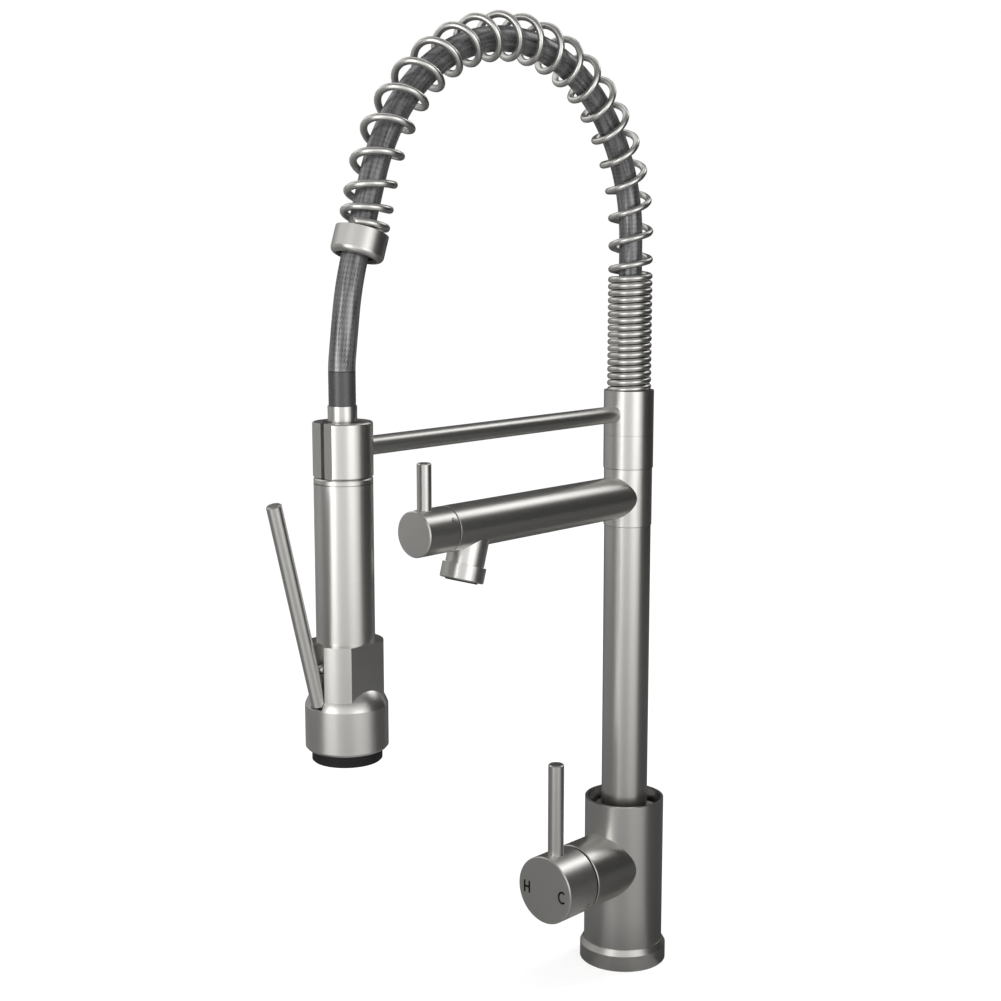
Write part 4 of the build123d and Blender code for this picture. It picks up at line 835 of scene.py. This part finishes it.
def round_the_tap(turn, distance, height):
    """A place at so many degrees to the camera's right, seen from the tap."""
    angle = radians(CAMERA_TURN + turn)
    return Vector((sin(angle) * distance, -cos(angle) * distance, height))


def soft_box(name, place, width, height, watts):
    lamp = bpy.data.lights.new(name, "AREA")
    lamp.shape = "RECTANGLE"
    lamp.size, lamp.size_y = width, height
    lamp.energy = watts
    box = bpy.data.objects.new(name, lamp)
    box.location = place
    box.rotation_euler = (LAMP_AIM - place).to_track_quat("-Z", "Y").to_euler()
    bpy.context.scene.collection.objects.link(box)


for name, turn, distance, up, width, height, watts in SOFT_BOXES:
    soft_box(name, round_the_tap(turn, distance, up), width, height, watts)
print("soft boxes:", len(SOFT_BOXES))

# %% [markdown]
# ## Cards
# Metal in an all-white room looks like paper: it has nothing dark to mirror. A studio stands
# cards beside it and lays them on the table, which gives the cylinders their dark edges. Seen
# from above, upright steel mirrors the floor, near the tap low down and far from it higher up,
# so each card has a foot, a near and a far part on the floor, and at the sides and behind a wall
# too. One more card hangs above. Where a card is, the steel mirrors the card and not the white.
# The greys were found by trial, until the bands on the steel came near those in the photograph.
# The cards are seen by mirror rays only: they hide nothing from the camera and take no light
# away.

# %% Cards for the steel to mirror
CARD_NEAR = 0.0267      # from the column's axis, just outside the base
CARD_FOOT = 0.085       # where the near part of the floor begins
CARD_BREAK = 0.45       # where the far part of the floor begins
CARD_FAR = 1.25         # where the walls stand
CARD_LIFT = 0.0003      # above the floor
CARD_FACET = 8          # degrees of turn in one face of a card
CEILING_TURNS = (-100, 110)
CEILING_REACH = (0.05, 2.2)     # from the column's axis
CEILING_HEIGHT = 1.9
CEILING_GREY = 0.42
# Name, from and to in degrees, greys of the foot, near, far and wall, top of the wall or 0.
CARDS = [
    ("far_left_card", -148, -108, 0.24, 0.28, 0.40, 0.58, 0.85),
    ("mid_left_card", -108, -81, 0.23, 0.27, 0.35, 0.72, 0.85),
    ("left_card", -81, -56, 0.23, 0.27, 0.30, 0.42, 0.85),
    ("left_light_card", -56, -24, 0.36, 0.62, 0.92, 0, 0),
    ("front_card", -24, 10, 0.29, 0.49, 0.64, 0, 0),
    ("right_light_card", 10, 50, 0.36, 0.60, 0.90, 0, 0),
    ("right_edge_card", 50, 60, 0.30, 0.44, 0.52, 0, 0),
    ("right_card", 60, 128, 0.08, 0.09, 0.11, 0.04, 1.6),
    ("corner_card", 128, 150, 0.10, 0.13, 0.13, 0.10, 2.2),
    ("rear_card", 150, 212, 0.10, 0.13, 0.13, 0.10, 2.2)]


def card_mesh(name, start, stop, profile):
    """A sheet swept from one turn to another about the tap, through (distance, height) points."""
    build = bmesh.new()
    steps = max(2, int((stop - start) / CARD_FACET))
    columns = []
    for step in range(steps + 1):
        turn = start + (stop - start) * step / steps
        points = [round_the_tap(turn, distance, height) for distance, height in profile]
        columns.append([build.verts.new(point) for point in points])
    for left, right in zip(columns, columns[1:]):
        for (a, b), (c, d) in zip(zip(left, left[1:]), zip(right, right[1:])):
            build.faces.new([a, b, d, c])
    mesh = bpy.data.meshes.new(name)
    build.to_mesh(mesh)
    build.free()
    return mesh


def mirror_card(name, start, stop, grey, profile):
    """One plain card, seen by mirror rays and by no other."""
    finish, shader = new_finish(name, (grey, grey, grey), MATT)
    card = add_piece(name, card_mesh(name, start, stop, profile), finish)
    card.visible_camera = False
    card.visible_diffuse = False
    card.visible_transmission = False
    card.visible_shadow = False


for name, start, stop, foot, near, far, wall, top in CARDS:
    mirror_card(name + "_foot", start, stop, foot, [(CARD_NEAR, CARD_LIFT), (CARD_FOOT, CARD_LIFT)])
    mirror_card(name + "_near", start, stop, near, [(CARD_FOOT, CARD_LIFT), (CARD_BREAK, CARD_LIFT)])
    mirror_card(name + "_far", start, stop, far, [(CARD_BREAK, CARD_LIFT), (CARD_FAR, CARD_LIFT)])
    if top:
        mirror_card(name + "_wall", start, stop, wall, [(CARD_FAR, CARD_LIFT), (CARD_FAR, top)])
ceiling = [(out, CEILING_HEIGHT) for out in CEILING_REACH]
mirror_card("ceiling_card", *CEILING_TURNS, CEILING_GREY, ceiling)
print("cards in", len(CARDS), "directions and a ceiling")
